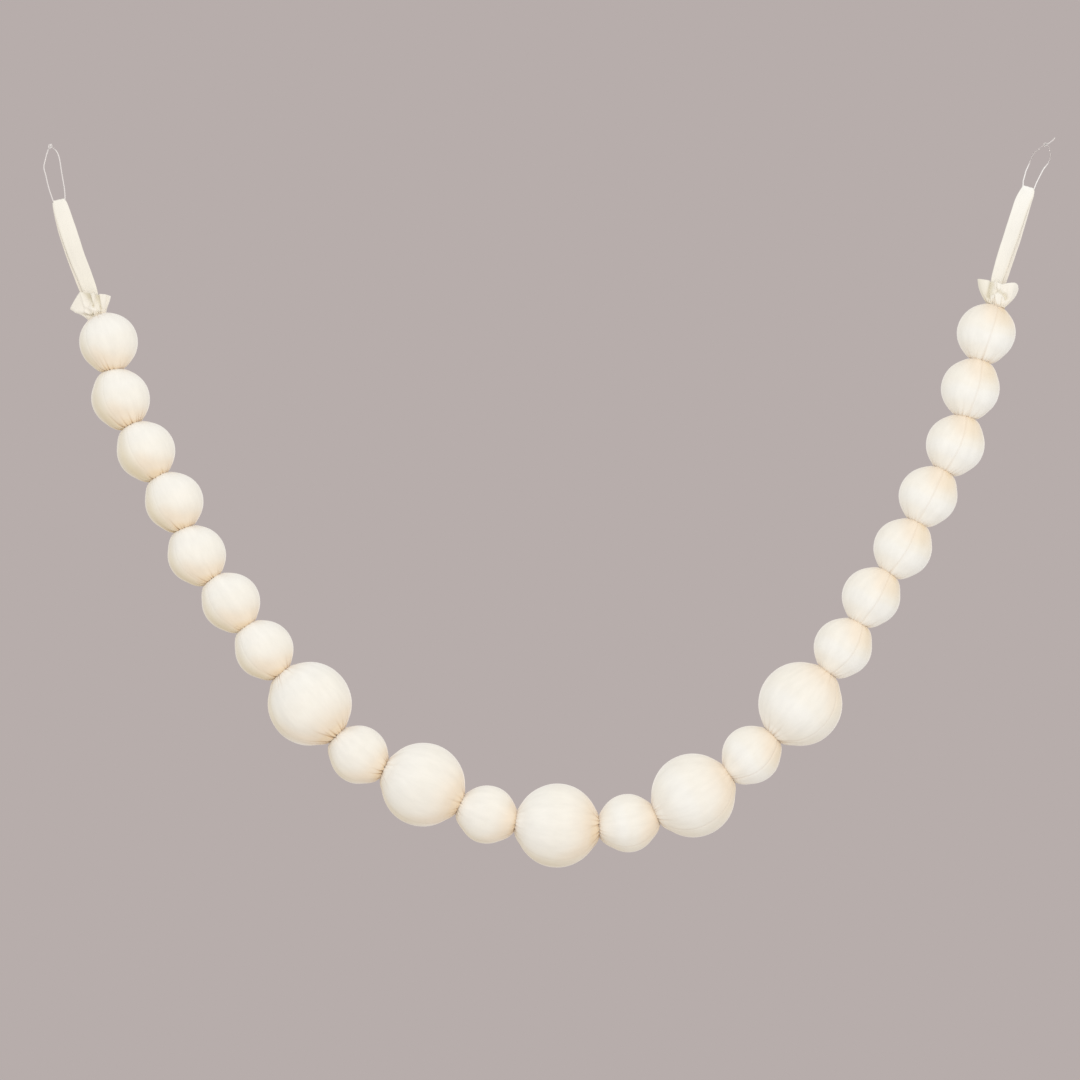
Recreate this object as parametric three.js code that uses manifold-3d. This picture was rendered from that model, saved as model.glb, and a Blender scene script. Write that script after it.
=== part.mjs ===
// A velvet ball garland. One long tube of cream velvet is filled with balls and tied off with thread
// between them. Past its last ties the tube flares as a gathered frill, a folded velvet strap rises
// out of each frill, and a clear nylon loop runs through the fold of each strap.
//
// Millimetres and degrees. +Z is up, +X runs from the left end of the garland to its right end, and
// -Y is the side it is looked at from. The garland hangs in the plane Y = 0. The origin is midway
// between the two points that it hangs from.
import * as THREE from "three";
import { mergeVertices } from "three/addons/utils/BufferGeometryUtils.js";
import Module from "manifold-3d";

const wasm = await Module();
wasm.setup();

// ---------------------------------------------------------------- driving dimensions

const SMALL_RADIUS = 29.5;
const LARGE_RADIUS = 42.5;
const CLEARANCE = 0.3; // between two pieces that touch on the real garland

// A neck is the gathered velvet between two balls. It stands on a shelf, where the cloth puckers.
const NECK_RADIUS = 5.5;
const END_NECK_RADIUS = 8; // wider, because the feet of the strap are caught in it
const SHELF_DEPTH = 1.3; // of the shelf below the crown of its ball
const SHELF_WIDTH = 4.5; // from the neck to the round of the ball

const TIE_WIDTH = 1.4;
const TIE_THICKNESS = 0.7;

const FRILL_THICKNESS = 1.4;
const FRILL_RISE = 3; // how far the frill follows its neck before it flares

const TAPE_THICKNESS = 1.3;
const TAPE_GAP = 0.6; // between the two layers of a folded strap
const CHANNEL_RADIUS = 0.9; // of the fold that the thread runs through

const THREAD_RADIUS = 0.6;
const KNOT_RADIUS = 2.1;

// Each ball, from the left end to the right end. heading is the way to the next ball, in degrees
// below level, so it is negative where the garland climbs.
const BALLS = [
  { size: "small", heading: 78 },
  { size: "small", heading: 64 },
  { size: "small", heading: 61 },
  { size: "small", heading: 67 },
  { size: "small", heading: 54 },
  { size: "small", heading: 55 },
  { size: "small", heading: 50 },
  { size: "large", heading: 46 },
  { size: "small", heading: 25 },
  { size: "large", heading: 25 },
  { size: "small", heading: 9 },
  { size: "large", heading: -2 },
  { size: "small", heading: -23 },
  { size: "large", heading: -35 },
  { size: "small", heading: -46 },
  { size: "large", heading: -53 },
  { size: "small", heading: -61 },
  { size: "small", heading: -57 },
  { size: "small", heading: -64 },
  { size: "small", heading: -62 },
  { size: "small", heading: -75 },
  { size: "small", heading: -74 },
  { size: "small", heading: -69 }, // up into the right end neck
];
const FIRST_HEADING = 66; // from the left end neck down into the first ball

// The folds of each frill, seen from its neck: around is 0 to the right and 90 to the front, out is the
// reach of the rim from the neck, up the rise of the rim above it, and belly how far the cloth swells
// out between neck and rim. Crests and hollows take turns.
const FRILL_LEFT = [
  { around: 8, out: 14.5, up: 19.5, belly: 2.5 },
  { around: 32, out: 12.5, up: 21.5, belly: 1 },
  { around: 56, out: 7.5, up: 22, belly: 0 },
  { around: 88, out: 12.5, up: 22.5, belly: 0.5 },
  { around: 122, out: 9, up: 22.5, belly: 0 },
  { around: 147, out: 18.5, up: 22.5, belly: 0 },
  { around: 177, out: 27, up: 6, belly: 0 },
  { around: 206, out: 15, up: 17, belly: 0 },
  { around: 236, out: 15, up: 21, belly: 1 },
  { around: 266, out: 9, up: 20, belly: 0 },
  { around: 298, out: 15, up: 20.5, belly: 1 },
  { around: 334, out: 10.5, up: 19.5, belly: 0 },
];
const FRILL_RIGHT = [
  { around: 0, out: 22, up: 16.5, belly: 6 },
  { around: 24, out: 18.5, up: 22.5, belly: 4 },
  { around: 52, out: 11, up: 22.5, belly: 0 },
  { around: 84, out: 9, up: 23, belly: 6 },
  { around: 112, out: 7.5, up: 24, belly: -1 },
  { around: 140, out: 12, up: 25, belly: 0 },
  { around: 168, out: 19.5, up: 26.5, belly: 1 },
  { around: 205, out: 13, up: 22, belly: 0 },
  { around: 238, out: 16, up: 23, belly: 1 },
  { around: 268, out: 9, up: 21.5, belly: 0 },
  { around: 298, out: 16, up: 22, belly: 1 },
  { around: 330, out: 13, up: 18.5, belly: 0 },
];

// The line of each strap, from its foot in the neck to its top: over and up from the neck, the width
// of the tape, and how far the back layer stands out past the front one.
const STRAP_LEFT = [
  { over: -0.5, up: 1.2, width: 7, shift: 0 },
  { over: -3, up: 11, width: 11, shift: -1 },
  { over: -6.5, up: 23, width: 14.5, shift: -2.5 },
  { over: -11.5, up: 37.5, width: 14.5, shift: -2.5 },
  { over: -21.5, up: 63, width: 15.5, shift: -1.5 },
  { over: -30, up: 89.5, width: 16, shift: -0.5 },
  { over: -37, up: 111.5, width: 14.5, shift: 0 },
  { over: -38.5, up: 118, width: 10, shift: 0 },
];
const STRAP_RIGHT = [
  { over: 0.3, up: 1.2, width: 7, shift: 0 },
  { over: 1, up: 12, width: 10, shift: 1.5 },
  { over: 3, up: 26, width: 13, shift: 3 },
  { over: 9.5, up: 47, width: 13.5, shift: 2.5 },
  { over: 16.5, up: 70, width: 14.5, shift: 1.5 },
  { over: 26, up: 102, width: 16, shift: 0 },
  { over: 30.5, up: 114.5, width: 14.5, shift: 0 },
  { over: 32.5, up: 121, width: 10, shift: 0 },
];

// The route of each thread, from the top edge of its strap: the left leg up to the knot, the right
// leg up to the knot, the knot, the free tail and the point that hangs on the nail.
const LOOP_LEFT = {
  leftLeg: [
    { over: -6.4, up: 0 },
    { over: -9, up: 7.5 },
    { over: -11.2, up: 15 },
    { over: -13.5, up: 25 },
    { over: -15.3, up: 32.7 },
    { over: -13.6, up: 41.5 },
    { over: -11.8, up: 48 },
  ],
  rightLeg: [
    { over: 6.1, up: 1.5 },
    { over: 6, up: 6 },
    { over: 5.3, up: 12.7 },
    { over: 3, up: 26 },
    { over: 0.5, up: 41.5 },
    { over: -1.9, up: 48 },
    { over: -4.8, up: 51.4 },
  ],
  knot: { over: -8.9, up: 54 },
  tail: [{ over: -7.6, up: 56.6 }],
  hang: { over: -8, up: 49.5 },
};
const LOOP_RIGHT = {
  leftLeg: [
    { over: -5.6, up: 2.6 },
    { over: -5.4, up: 6 },
    { over: -4, up: 11 },
    { over: -2.5, up: 16.5 },
    { over: 0, up: 22 },
    { over: 4, up: 31.5 },
    { over: 7.1, up: 35.7 },
    { over: 11.1, up: 39.3 },
  ],
  rightLeg: [
    { over: 6.4, up: 0 },
    { over: 7.8, up: 3.5 },
    { over: 10.1, up: 8.3 },
    { over: 15.2, up: 18 },
    { over: 20.2, up: 24.6 },
    { over: 22.1, up: 32 },
    { over: 20.6, up: 39.8 },
  ],
  knot: { over: 17, up: 42.8 },
  tail: [
    { over: 22.3, up: 45.4 },
    { over: 27, up: 50 },
  ],
  hang: { over: 16.5, up: 38.5 },
};

// How finely the round pieces are cut into flats.
const BALL_SIDES = 16;
const BALL_BANDS = 6; // from shelf to shelf
const FRILL_SIDES = 48;
const FRILL_BANDS = 4;
const STRAP_STEPS = 12;
const FOLD_STEPS = 6;
const TIE_SIDES = 12;
const THREAD_SIDES = 8;
const THREAD_STEPS = 52;

// ---------------------------------------------------------------- finishes

const finishes = {
  velvet: { color: 0xf2e7d3, roughness: 0.85, metalness: 0 },
  thread: { color: 0xe9dcc4, roughness: 0.7, metalness: 0 },
  nylon: { color: 0xf4f2ee, roughness: 0.2, metalness: 0, transparent: true, opacity: 0.6 },
};

function piece(name, geometry, finish) {
  const mesh = new THREE.Mesh(geometry, new THREE.MeshStandardMaterial(finishes[finish]));
  mesh.name = name;
  return mesh;
}

// ---------------------------------------------------------------- helpers

const DEPTH = new THREE.Vector3(0, 1, 0);
const degrees = THREE.MathUtils.degToRad;

// The direction of a heading, in the plane that the garland hangs in.
function along(heading) {
  return new THREE.Vector3(Math.cos(degrees(heading)), 0, -Math.sin(degrees(heading)));
}

// The direction square to a heading, in the same plane.
function across(direction) {
  return new THREE.Vector3().crossVectors(direction, DEPTH);
}

function offset(from, row) {
  return new THREE.Vector3(from.x + row.over, from.y, from.z + row.up);
}

// A closed surface through rings that hold the same number of points. The last ring joins the first
// where closed is true, and otherwise both end rings are capped.
function loft(rings, closed) {
  const size = rings[0].length;
  const points = rings.flat();
  const faces = [];
  const spans = closed ? rings.length : rings.length - 1;
  for (let r = 0; r < spans; r++) {
    const here = r * size;
    const next = ((r + 1) % rings.length) * size;
    for (let i = 0; i < size; i++) {
      const j = (i + 1) % size;
      faces.push(here + i, here + j, next + j, here + i, next + j, next + i);
    }
  }
  if (!closed) {
    const last = (rings.length - 1) * size;
    for (let i = 1; i < size - 1; i++) {
      faces.push(0, i + 1, i);
      faces.push(last, last + i, last + i + 1);
    }
  }
  const geometry = new THREE.BufferGeometry().setFromPoints(points).setIndex(faces);
  return facingOut(geometry);
}

// Turns every face round if the surface is inside out.
function facingOut(geometry) {
  const index = geometry.getIndex();
  const position = geometry.getAttribute("position");
  const corner = [0, 1, 2].map(() => new THREE.Vector3());
  let volume = 0;
  for (let i = 0; i < index.count; i += 3) {
    corner.forEach((c, k) => c.fromBufferAttribute(position, index.getX(i + k)));
    volume += corner[0].dot(corner[1].cross(corner[2]));
  }
  if (volume < 0) {
    for (let i = 0; i < index.count; i += 3) {
      const first = index.getX(i);
      index.setX(i, index.getX(i + 1));
      index.setX(i + 1, first);
    }
  }
  return geometry;
}

// A closed mesh as a solid that can be joined to others.
function solid(geometry) {
  geometry.deleteAttribute("normal");
  geometry.deleteAttribute("uv");
  const merged = mergeVertices(geometry, 1e-3);
  return new wasm.Manifold(
    new wasm.Mesh({
      numProp: 3,
      vertProperties: merged.getAttribute("position").array,
      triVerts: new Uint32Array(merged.getIndex().array),
    }),
  );
}

function joined(geometries) {
  const mesh = geometries
    .map(solid)
    .reduce((whole, next) => whole.add(next))
    .getMesh();
  const position = new THREE.BufferAttribute(mesh.vertProperties, mesh.numProp);
  return new THREE.BufferGeometry()
    .setAttribute("position", position)
    .setIndex(new THREE.BufferAttribute(mesh.triVerts, 1));
}

// ---------------------------------------------------------------- the balls

const radiusOf = (ball) => (ball.size === "large" ? LARGE_RADIUS : SMALL_RADIUS);

// The balls touch, so the centres are two radii apart.
const centres = [new THREE.Vector3()];
for (let i = 1; i < BALLS.length; i++) {
  const spacing = radiusOf(BALLS[i - 1]) + radiusOf(BALLS[i]);
  centres.push(along(BALLS[i - 1].heading).multiplyScalar(spacing).add(centres[i - 1]));
}

// One pole of a ball, from the end of its neck to the round: the angle from the pole, the distance
// from the centre along the pole, and the radius there.
function pole(radius, neck) {
  const shelf = neck + SHELF_WIDTH;
  return [
    { angle: 0, height: radius - CLEARANCE / 2, radius: neck },
    { angle: 0, height: radius - SHELF_DEPTH, radius: neck },
    { angle: Math.asin(shelf / radius), height: Math.sqrt(radius ** 2 - shelf ** 2), radius: shelf },
  ];
}

// A ball is turned like a lathe piece whose axis bends from the heading it comes in on to the heading
// it goes out on.
function ballSolid(centre, radius, headingIn, headingOut, neckIn, neckOut) {
  const into = pole(radius, neckIn).map((p) => ({ ...p, height: -p.height }));
  const outOf = pole(radius, neckOut).map((p) => ({ ...p, angle: Math.PI - p.angle }));
  const start = into[2].angle;
  const end = outOf[2].angle;
  const profile = [...into];
  for (let band = 1; band < BALL_BANDS; band++) {
    const angle = start + ((end - start) * band) / BALL_BANDS;
    profile.push({ angle, height: -radius * Math.cos(angle), radius: radius * Math.sin(angle) });
  }
  profile.push(...outOf.reverse());

  const rings = profile.map((row) => {
    const turn = THREE.MathUtils.clamp((row.angle - start) / (end - start), 0, 1);
    const direction = along(headingIn + (headingOut - headingIn) * turn);
    const side = across(direction);
    const middle = centre.clone().addScaledVector(direction, row.height);
    return Array.from({ length: BALL_SIDES }, (_, i) => {
      const around = (i * 2 * Math.PI) / BALL_SIDES;
      return middle
        .clone()
        .addScaledVector(side, row.radius * Math.cos(around))
        .addScaledVector(DEPTH, row.radius * Math.sin(around));
    });
  });
  return loft(rings, false);
}

// ---------------------------------------------------------------- the ties

// A winding of thread round a neck: a flat band, turned about the neck.
function tieSolid(centre, heading, neck) {
  const inner = (neck + CLEARANCE) / Math.cos(Math.PI / TIE_SIDES);
  const outer = inner + TIE_THICKNESS;
  const half = TIE_WIDTH / 2;
  const section = [
    new THREE.Vector2(inner, -half),
    new THREE.Vector2(outer, -half),
    new THREE.Vector2(outer, half),
    new THREE.Vector2(inner, half),
    new THREE.Vector2(inner, -half),
  ];
  const geometry = new THREE.LatheGeometry(section, TIE_SIDES);
  const turn = new THREE.Quaternion().setFromUnitVectors(DEPTH, along(heading));
  geometry.applyQuaternion(turn).translate(centre.x, centre.y, centre.z);
  geometry.deleteAttribute("normal");
  geometry.deleteAttribute("uv");
  return facingOut(mergeVertices(geometry, 1e-3));
}

// ---------------------------------------------------------------- the frills

// The fold between two rows of a frill's table, eased so that crests and hollows are round.
function rimAt(folds, around) {
  const found = folds.findIndex((row) => row.around > around);
  const next = found < 0 ? 0 : found;
  const last = (next + folds.length - 1) % folds.length;
  const from = folds[last];
  const to = folds[next];
  const span = THREE.MathUtils.euclideanModulo(to.around - from.around, 360);
  const share = THREE.MathUtils.euclideanModulo(around - from.around, 360) / span;
  const eased = (1 - Math.cos(share * Math.PI)) / 2;
  const mix = (key) => from[key] + (to[key] - from[key]) * eased;
  return { out: mix("out"), up: mix("up"), belly: mix("belly") };
}

// A frill is the cut end of the tube: it follows its neck for a little and then flares out to its rim.
function frillSolid(neck, direction, folds) {
  const side = across(direction);
  if (side.x < 0) side.negate();
  const base = neck.clone().addScaledVector(direction, CLEARANCE / 2);

  const surface = (around, share) => {
    const angle = degrees(around);
    const foot = base
      .clone()
      .addScaledVector(side, END_NECK_RADIUS * Math.cos(angle))
      .addScaledVector(DEPTH, -END_NECK_RADIUS * Math.sin(angle));
    const rim = rimAt(folds, THREE.MathUtils.euclideanModulo(around, 360));
    const edge = new THREE.Vector3(
      neck.x + rim.out * Math.cos(angle),
      neck.y - rim.out * Math.sin(angle),
      neck.z + rim.up,
    );
    const rise = foot.clone().addScaledVector(direction, FRILL_RISE);
    const swell = rise.clone().lerp(edge, 0.4);
    swell.x += rim.belly * Math.cos(angle);
    swell.y -= rim.belly * Math.sin(angle);
    return new THREE.CubicBezierCurve3(foot, rise, swell, edge).getPoint(share);
  };
  // The inner face is the outer one, moved in along its normal. At the foot it moves in level with
  // the neck, so that the foot stays flat.
  const step = 0.02;
  const inner = (around, share) => {
    const here = surface(around, share);
    const up = surface(around, Math.min(share + step, 1)).sub(surface(around, share - step));
    const round = surface(around + 1, share).sub(surface(around - 1, share));
    const normal = new THREE.Vector3().crossVectors(round, up);
    if (share === 0) {
      normal.copy(here).sub(base);
      normal.addScaledVector(direction, -normal.dot(direction));
    }
    normal.normalize();
    if (normal.dot(here.clone().sub(base)) > 0) normal.negate();
    return here.addScaledVector(normal, FRILL_THICKNESS);
  };

  const ring = (face, share) =>
    Array.from({ length: FRILL_SIDES }, (_, i) => face((i * 360) / FRILL_SIDES, share));
  const shares = Array.from({ length: FRILL_BANDS + 1 }, (_, i) => i / FRILL_BANDS);
  const rings = [
    ...shares.map((share) => ring(surface, share)),
    ...shares.toReversed().map((share) => ring(inner, share)),
  ];
  return loft(rings, true);
}

// ---------------------------------------------------------------- the straps

// The line of a strap, with the width and shift of its tape at each point.
function strapLine(neck, rows) {
  const curve = new THREE.CatmullRomCurve3(rows.map((row) => offset(neck, row)));
  return (share) => {
    const place = share * (rows.length - 1);
    const low = Math.min(Math.floor(place), rows.length - 2);
    const part = place - low;
    const mix = (key) => rows[low][key] + (rows[low + 1][key] - rows[low][key]) * part;
    const tangent = curve.getTangent(share);
    return {
      point: curve.getPoint(share),
      tangent,
      side: new THREE.Vector3(tangent.z, 0, -tangent.x),
      width: mix("width"),
      shift: mix("shift"),
    };
  };
}

// The middle of the channel that a strap's fold leaves for the thread.
function channelOf(line) {
  const top = line(1);
  const depth = CHANNEL_RADIUS + TAPE_THICKNESS;
  return { ...top, point: top.point.clone().addScaledVector(top.tangent, -depth) };
}

// A strap is one tape: up the front, over the thread and down the back.
function strapSolid(line) {
  const channel = channelOf(line);
  const sections = [];
  const section = (at, centre, outward, shift) => {
    const half = at.width / 2;
    const corner = (wide, thick) =>
      centre
        .clone()
        .addScaledVector(at.side, wide * half + shift)
        .addScaledVector(outward, (thick * TAPE_THICKNESS) / 2);
    sections.push([corner(-1, 1), corner(1, 1), corner(1, -1), corner(-1, -1)]);
  };

  const run = line(1).point.distanceTo(line(0).point);
  const topShare = 1 - (CHANNEL_RADIUS + TAPE_THICKNESS) / run;
  const opening = 6 / run; // the share of the strap over which its layers part for the channel
  const layer = (share, face) => {
    const at = line(share);
    const parted = THREE.MathUtils.smoothstep(share, topShare - opening, topShare);
    const gap = THREE.MathUtils.lerp(TAPE_GAP / 2, CHANNEL_RADIUS, parted);
    const outward = DEPTH.clone().multiplyScalar(face);
    const centre = at.point.clone().addScaledVector(outward, gap + TAPE_THICKNESS / 2);
    section(at, centre, outward, face > 0 ? at.shift : 0);
  };

  for (let i = 0; i < STRAP_STEPS; i++) layer((topShare * i) / STRAP_STEPS, -1);
  for (let i = 0; i <= FOLD_STEPS; i++) {
    const turn = (Math.PI * i) / FOLD_STEPS;
    const outward = DEPTH.clone()
      .multiplyScalar(-Math.cos(turn))
      .addScaledVector(channel.tangent, Math.sin(turn));
    const reach = CHANNEL_RADIUS + TAPE_THICKNESS / 2;
    section(channel, channel.point.clone().addScaledVector(outward, reach), outward, 0);
  }
  for (let i = STRAP_STEPS - 1; i >= 0; i--) layer((topShare * i) / STRAP_STEPS, 1);
  return loft(sections, false);
}

// ---------------------------------------------------------------- the nylon loops

function threadTube(points, steps) {
  const corners = Array.from({ length: THREAD_SIDES }, (_, i) => {
    const angle = (i * 2 * Math.PI) / THREAD_SIDES;
    return new THREE.Vector2(THREAD_RADIUS * Math.cos(angle), THREAD_RADIUS * Math.sin(angle));
  });
  return new THREE.ExtrudeGeometry(new THREE.Shape(corners), {
    steps,
    extrudePath: new THREE.CatmullRomCurve3(points),
  });
}

// From the knot down one leg, through the fold of the strap and up the other leg, back into the knot.
function loopSolid(line, route) {
  const top = line(1).point;
  const channel = channelOf(line);
  const place = (row) => offset(top, row);
  const inFold = (reach) => channel.point.clone().addScaledVector(channel.side, reach);
  const half = channel.width / 2;
  const knot = place(route.knot);
  const points = [
    knot,
    ...route.leftLeg.toReversed().map(place),
    inFold(-half - THREAD_RADIUS),
    inFold(-half + THREAD_RADIUS),
    inFold(half - THREAD_RADIUS),
    inFold(half + THREAD_RADIUS),
    ...route.rightLeg.map(place),
    knot.clone(),
  ];
  const ball = new THREE.SphereGeometry(KNOT_RADIUS, 10, 6);
  ball.translate(knot.x, knot.y, knot.z);
  const tail = threadTube([knot, ...route.tail.map(place)], 3 * route.tail.length);
  return joined([threadTube(points, THREAD_STEPS), ball, tail]);
}

// ---------------------------------------------------------------- the garland

const garland = new THREE.Group();
garland.name = "velvet_ball_garland";
const number = (i) => String(i).padStart(2, "0");

BALLS.forEach((ball, i) => {
  const headingIn = i === 0 ? FIRST_HEADING : BALLS[i - 1].heading;
  const neckIn = i === 0 ? END_NECK_RADIUS : NECK_RADIUS;
  const neckOut = i === BALLS.length - 1 ? END_NECK_RADIUS : NECK_RADIUS;
  const shape = ballSolid(centres[i], radiusOf(ball), headingIn, ball.heading, neckIn, neckOut);
  garland.add(piece("ball_" + number(i + 1), shape, "velvet"));
});

// The left end neck, every neck between two balls and the right end neck.
const necks = [
  { heading: FIRST_HEADING, radius: END_NECK_RADIUS, point: null },
  ...BALLS.map((ball, i) => ({
    heading: ball.heading,
    radius: i === BALLS.length - 1 ? END_NECK_RADIUS : NECK_RADIUS,
    point: along(ball.heading).multiplyScalar(radiusOf(ball)).add(centres[i]),
  })),
];
necks[0].point = along(FIRST_HEADING).multiplyScalar(-radiusOf(BALLS[0])).add(centres[0]);
necks.forEach((neck, i) => {
  const shape = tieSolid(neck.point, neck.heading, neck.radius);
  garland.add(piece("tie_" + number(i + 1), shape, "thread"));
});

const ends = [
  {
    side: "left",
    neck: necks[0].point,
    direction: along(FIRST_HEADING).negate(),
    folds: FRILL_LEFT,
    strap: STRAP_LEFT,
    loop: LOOP_LEFT,
  },
  {
    side: "right",
    neck: necks[BALLS.length].point,
    direction: along(BALLS[BALLS.length - 1].heading),
    folds: FRILL_RIGHT,
    strap: STRAP_RIGHT,
    loop: LOOP_RIGHT,
  },
];
const hangs = ends.map((end) => {
  const line = strapLine(end.neck, end.strap);
  garland.add(piece("frill_" + end.side, frillSolid(end.neck, end.direction, end.folds), "velvet"));
  garland.add(piece("strap_" + end.side, strapSolid(line), "velvet"));
  garland.add(piece("loop_" + end.side, loopSolid(line, end.loop), "nylon"));
  return offset(line(1).point, end.loop.hang);
});

// The garland is moved so that the origin lies midway between its two hanging points.
garland.position.copy(hangs[0]).add(hangs[1]).multiplyScalar(-0.5);

export default garland;
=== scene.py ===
# %% [markdown]
# # A velvet ball garland
#
# The real garland is one long tube of cream velvet. Balls are pushed into it one by one, and thread
# is wound round the tube between each ball and the next. Past the last balls the tube ends in a
# gathered frill. A folded velvet strap is caught in each frill, and a clear nylon thread runs through
# the fold of the strap, so that the garland can hang from two nails.
#
# The solid model of the garland is loaded first. It is the frame that every piece here is made on,
# so no length is measured twice: a piece asks the frame where its solid is.

# %% Load the frame
import math
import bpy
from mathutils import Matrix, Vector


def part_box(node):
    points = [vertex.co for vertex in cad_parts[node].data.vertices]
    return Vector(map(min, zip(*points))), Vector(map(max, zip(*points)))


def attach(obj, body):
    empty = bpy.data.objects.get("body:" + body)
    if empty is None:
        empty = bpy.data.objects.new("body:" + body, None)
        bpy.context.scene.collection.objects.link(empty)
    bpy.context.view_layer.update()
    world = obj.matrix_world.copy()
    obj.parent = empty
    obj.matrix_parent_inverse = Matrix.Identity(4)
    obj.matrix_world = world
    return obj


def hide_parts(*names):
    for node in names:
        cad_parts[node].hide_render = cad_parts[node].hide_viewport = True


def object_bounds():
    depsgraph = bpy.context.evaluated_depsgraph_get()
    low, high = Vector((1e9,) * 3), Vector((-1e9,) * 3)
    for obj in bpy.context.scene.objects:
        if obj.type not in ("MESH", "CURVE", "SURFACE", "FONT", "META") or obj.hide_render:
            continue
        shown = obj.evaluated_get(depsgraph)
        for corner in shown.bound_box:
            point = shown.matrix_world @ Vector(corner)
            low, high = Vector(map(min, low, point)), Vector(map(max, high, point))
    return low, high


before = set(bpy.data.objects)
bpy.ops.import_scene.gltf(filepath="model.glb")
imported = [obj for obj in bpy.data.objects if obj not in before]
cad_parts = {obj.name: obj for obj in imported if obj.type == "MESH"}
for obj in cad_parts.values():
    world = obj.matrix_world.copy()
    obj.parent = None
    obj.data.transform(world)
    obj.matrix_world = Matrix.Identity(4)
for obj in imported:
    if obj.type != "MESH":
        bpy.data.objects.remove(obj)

from types import SimpleNamespace

import bmesh
import bpy
import numpy as np
from mathutils import Vector, noise

cad_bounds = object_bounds()
lowest, highest = (np.array(corner) for corner in cad_bounds)
print("The frame has", len(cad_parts), "solids and is", np.round(highest - lowest, 3), "m")

# %% [markdown]
# ## The camera
#
# The garland is looked at straight from the front, by a long lens that stands well back, so that the
# balls at the sides are seen as round as those in the middle. A lens of 85 mm does that. How far
# back it stands follows from the width that it has to take in.

# %% Set up the camera
MM = 0.001
LENS = 85
SENSOR = 36
VIEW_WIDTH = 1098.4 * MM
AIM_FROM_MIDDLE = np.array([-9.6, 0, -38.4]) * MM  # the garland is a little off the middle of the view

lens = bpy.data.cameras.new("front_lens")
lens.lens = LENS
lens.sensor_width = SENSOR
camera = bpy.data.objects.new("front_camera", lens)
stand_back = VIEW_WIDTH * LENS / SENSOR
camera.location = (lowest + highest) / 2 + AIM_FROM_MIDDLE - np.array([0, stand_back, 0])
camera.rotation_euler = (math.pi / 2, 0, 0)
bpy.context.collection.objects.link(camera)
bpy.context.scene.camera = camera
print("The camera stands", round(stand_back, 3), "m in front of the garland")

# %% [markdown]
# ## Where things are
#
# The thread ties mark the necks of the tube, so the middle of each tie's box is the middle of a neck.
# From the first neck on, each ball lies one radius beyond its neck, and the next neck one radius
# beyond the ball. The headings say which way the tube runs there, in degrees below level.

# %% Find the necks and the balls
FIRST_HEADING = 66
BALL_COUNT = 23
DEPTH = np.array([0.0, 1.0, 0.0])


def middle_of(node):
    """The middle of a solid's box."""
    low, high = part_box(node)
    return (np.array(low) + np.array(high)) / 2


def along(heading):
    """A direction, by how far below level it points."""
    angle = math.radians(heading)
    return np.array([math.cos(angle), 0, -math.sin(angle)])


def unit(vectors):
    """The same directions, each with a length of 1."""
    return vectors / np.linalg.norm(vectors, axis=-1, keepdims=True)


necks = [middle_of(f"tie_{number:02d}") for number in range(1, BALL_COUNT + 2)]
radii = []
centres = []
ways = [along(FIRST_HEADING)]
for number in range(1, BALL_COUNT + 1):
    low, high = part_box(f"ball_{number:02d}")
    radius = (high[1] - low[1]) / 2
    centre = necks[number - 1] + ways[-1] * radius
    radii.append(radius)
    centres.append(centre)
    ways.append(unit(necks[number] - centre))
print("Radii, in mm:", [round(radius / MM, 1) for radius in radii])

# %% [markdown]
# ## Smooth lines and round tubes
#
# Several pieces follow a line: the nylon loops, the straps and the turns of thread. A smooth line
# through a few points is worked out as a Catmull-Rom curve, which passes through each of its points.
# A tube is then a ring of points carried along the line. The ring is turned as little as possible on
# the way, so the tube doesn't twist.

# %% Line and tube helpers
def smooth_line(points, steps):
    """A number of steps along the smooth line through the points."""
    points = np.array(points, float)
    first = 2 * points[0] - points[1]
    last = 2 * points[-1] - points[-2]
    padded = np.vstack([first, points, last])
    spans = len(points) - 1
    place = np.linspace(0, spans, steps)
    span = np.minimum(place.astype(int), spans - 1)
    t = (place - span)[:, None]
    a, b, c, d = (padded[span + k] for k in range(4))
    bend = (2 * a - 5 * b + 4 * c - d) * t**2 + (3 * b - a - 3 * c + d) * t**3
    return (2 * b + (c - a) * t + bend) / 2


def carried_side(tangents, start):
    """A direction across the line at each step, turned only as far as the line itself turns."""
    sides = [unit(start - tangents[0] * np.dot(start, tangents[0]))]
    for tangent in tangents[1:]:
        sides.append(unit(sides[-1] - tangent * np.dot(sides[-1], tangent)))
    return np.array(sides)


def tube_grid(line, radius, sides, closed=False):
    """A ring of points round each point of the line."""
    if closed:
        tangents = unit(np.roll(line, -1, 0) - np.roll(line, 1, 0))
    else:
        tangents = unit(np.gradient(line, axis=0))
    side = carried_side(tangents, DEPTH + 0.01)  # a little askew, so it never lies along the line
    up = np.cross(tangents, side)
    angle = np.linspace(0, 2 * math.pi, sides, endpoint=False)
    across = np.cos(angle)[None, :, None] * side[:, None] + np.sin(angle)[None, :, None] * up[:, None]
    return line[:, None] + across * radius


print("Halfway along a smooth line:", smooth_line([(0, 0, 0), (1, 0, 1), (2, 0, 0)], 3)[1])

# %% [markdown]
# ## From rows of points to a mesh
#
# Every piece below is worked out as a grid: rows of points, each row a closed ring. One function
# turns such grids into a mesh. A grid can close on itself, as the cross-section of a frill does, or
# end in a cap. Blender then turns all the faces outwards. What the colours need to know of the cloth
# is kept on the points too, as named facts that a material can read.

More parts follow.
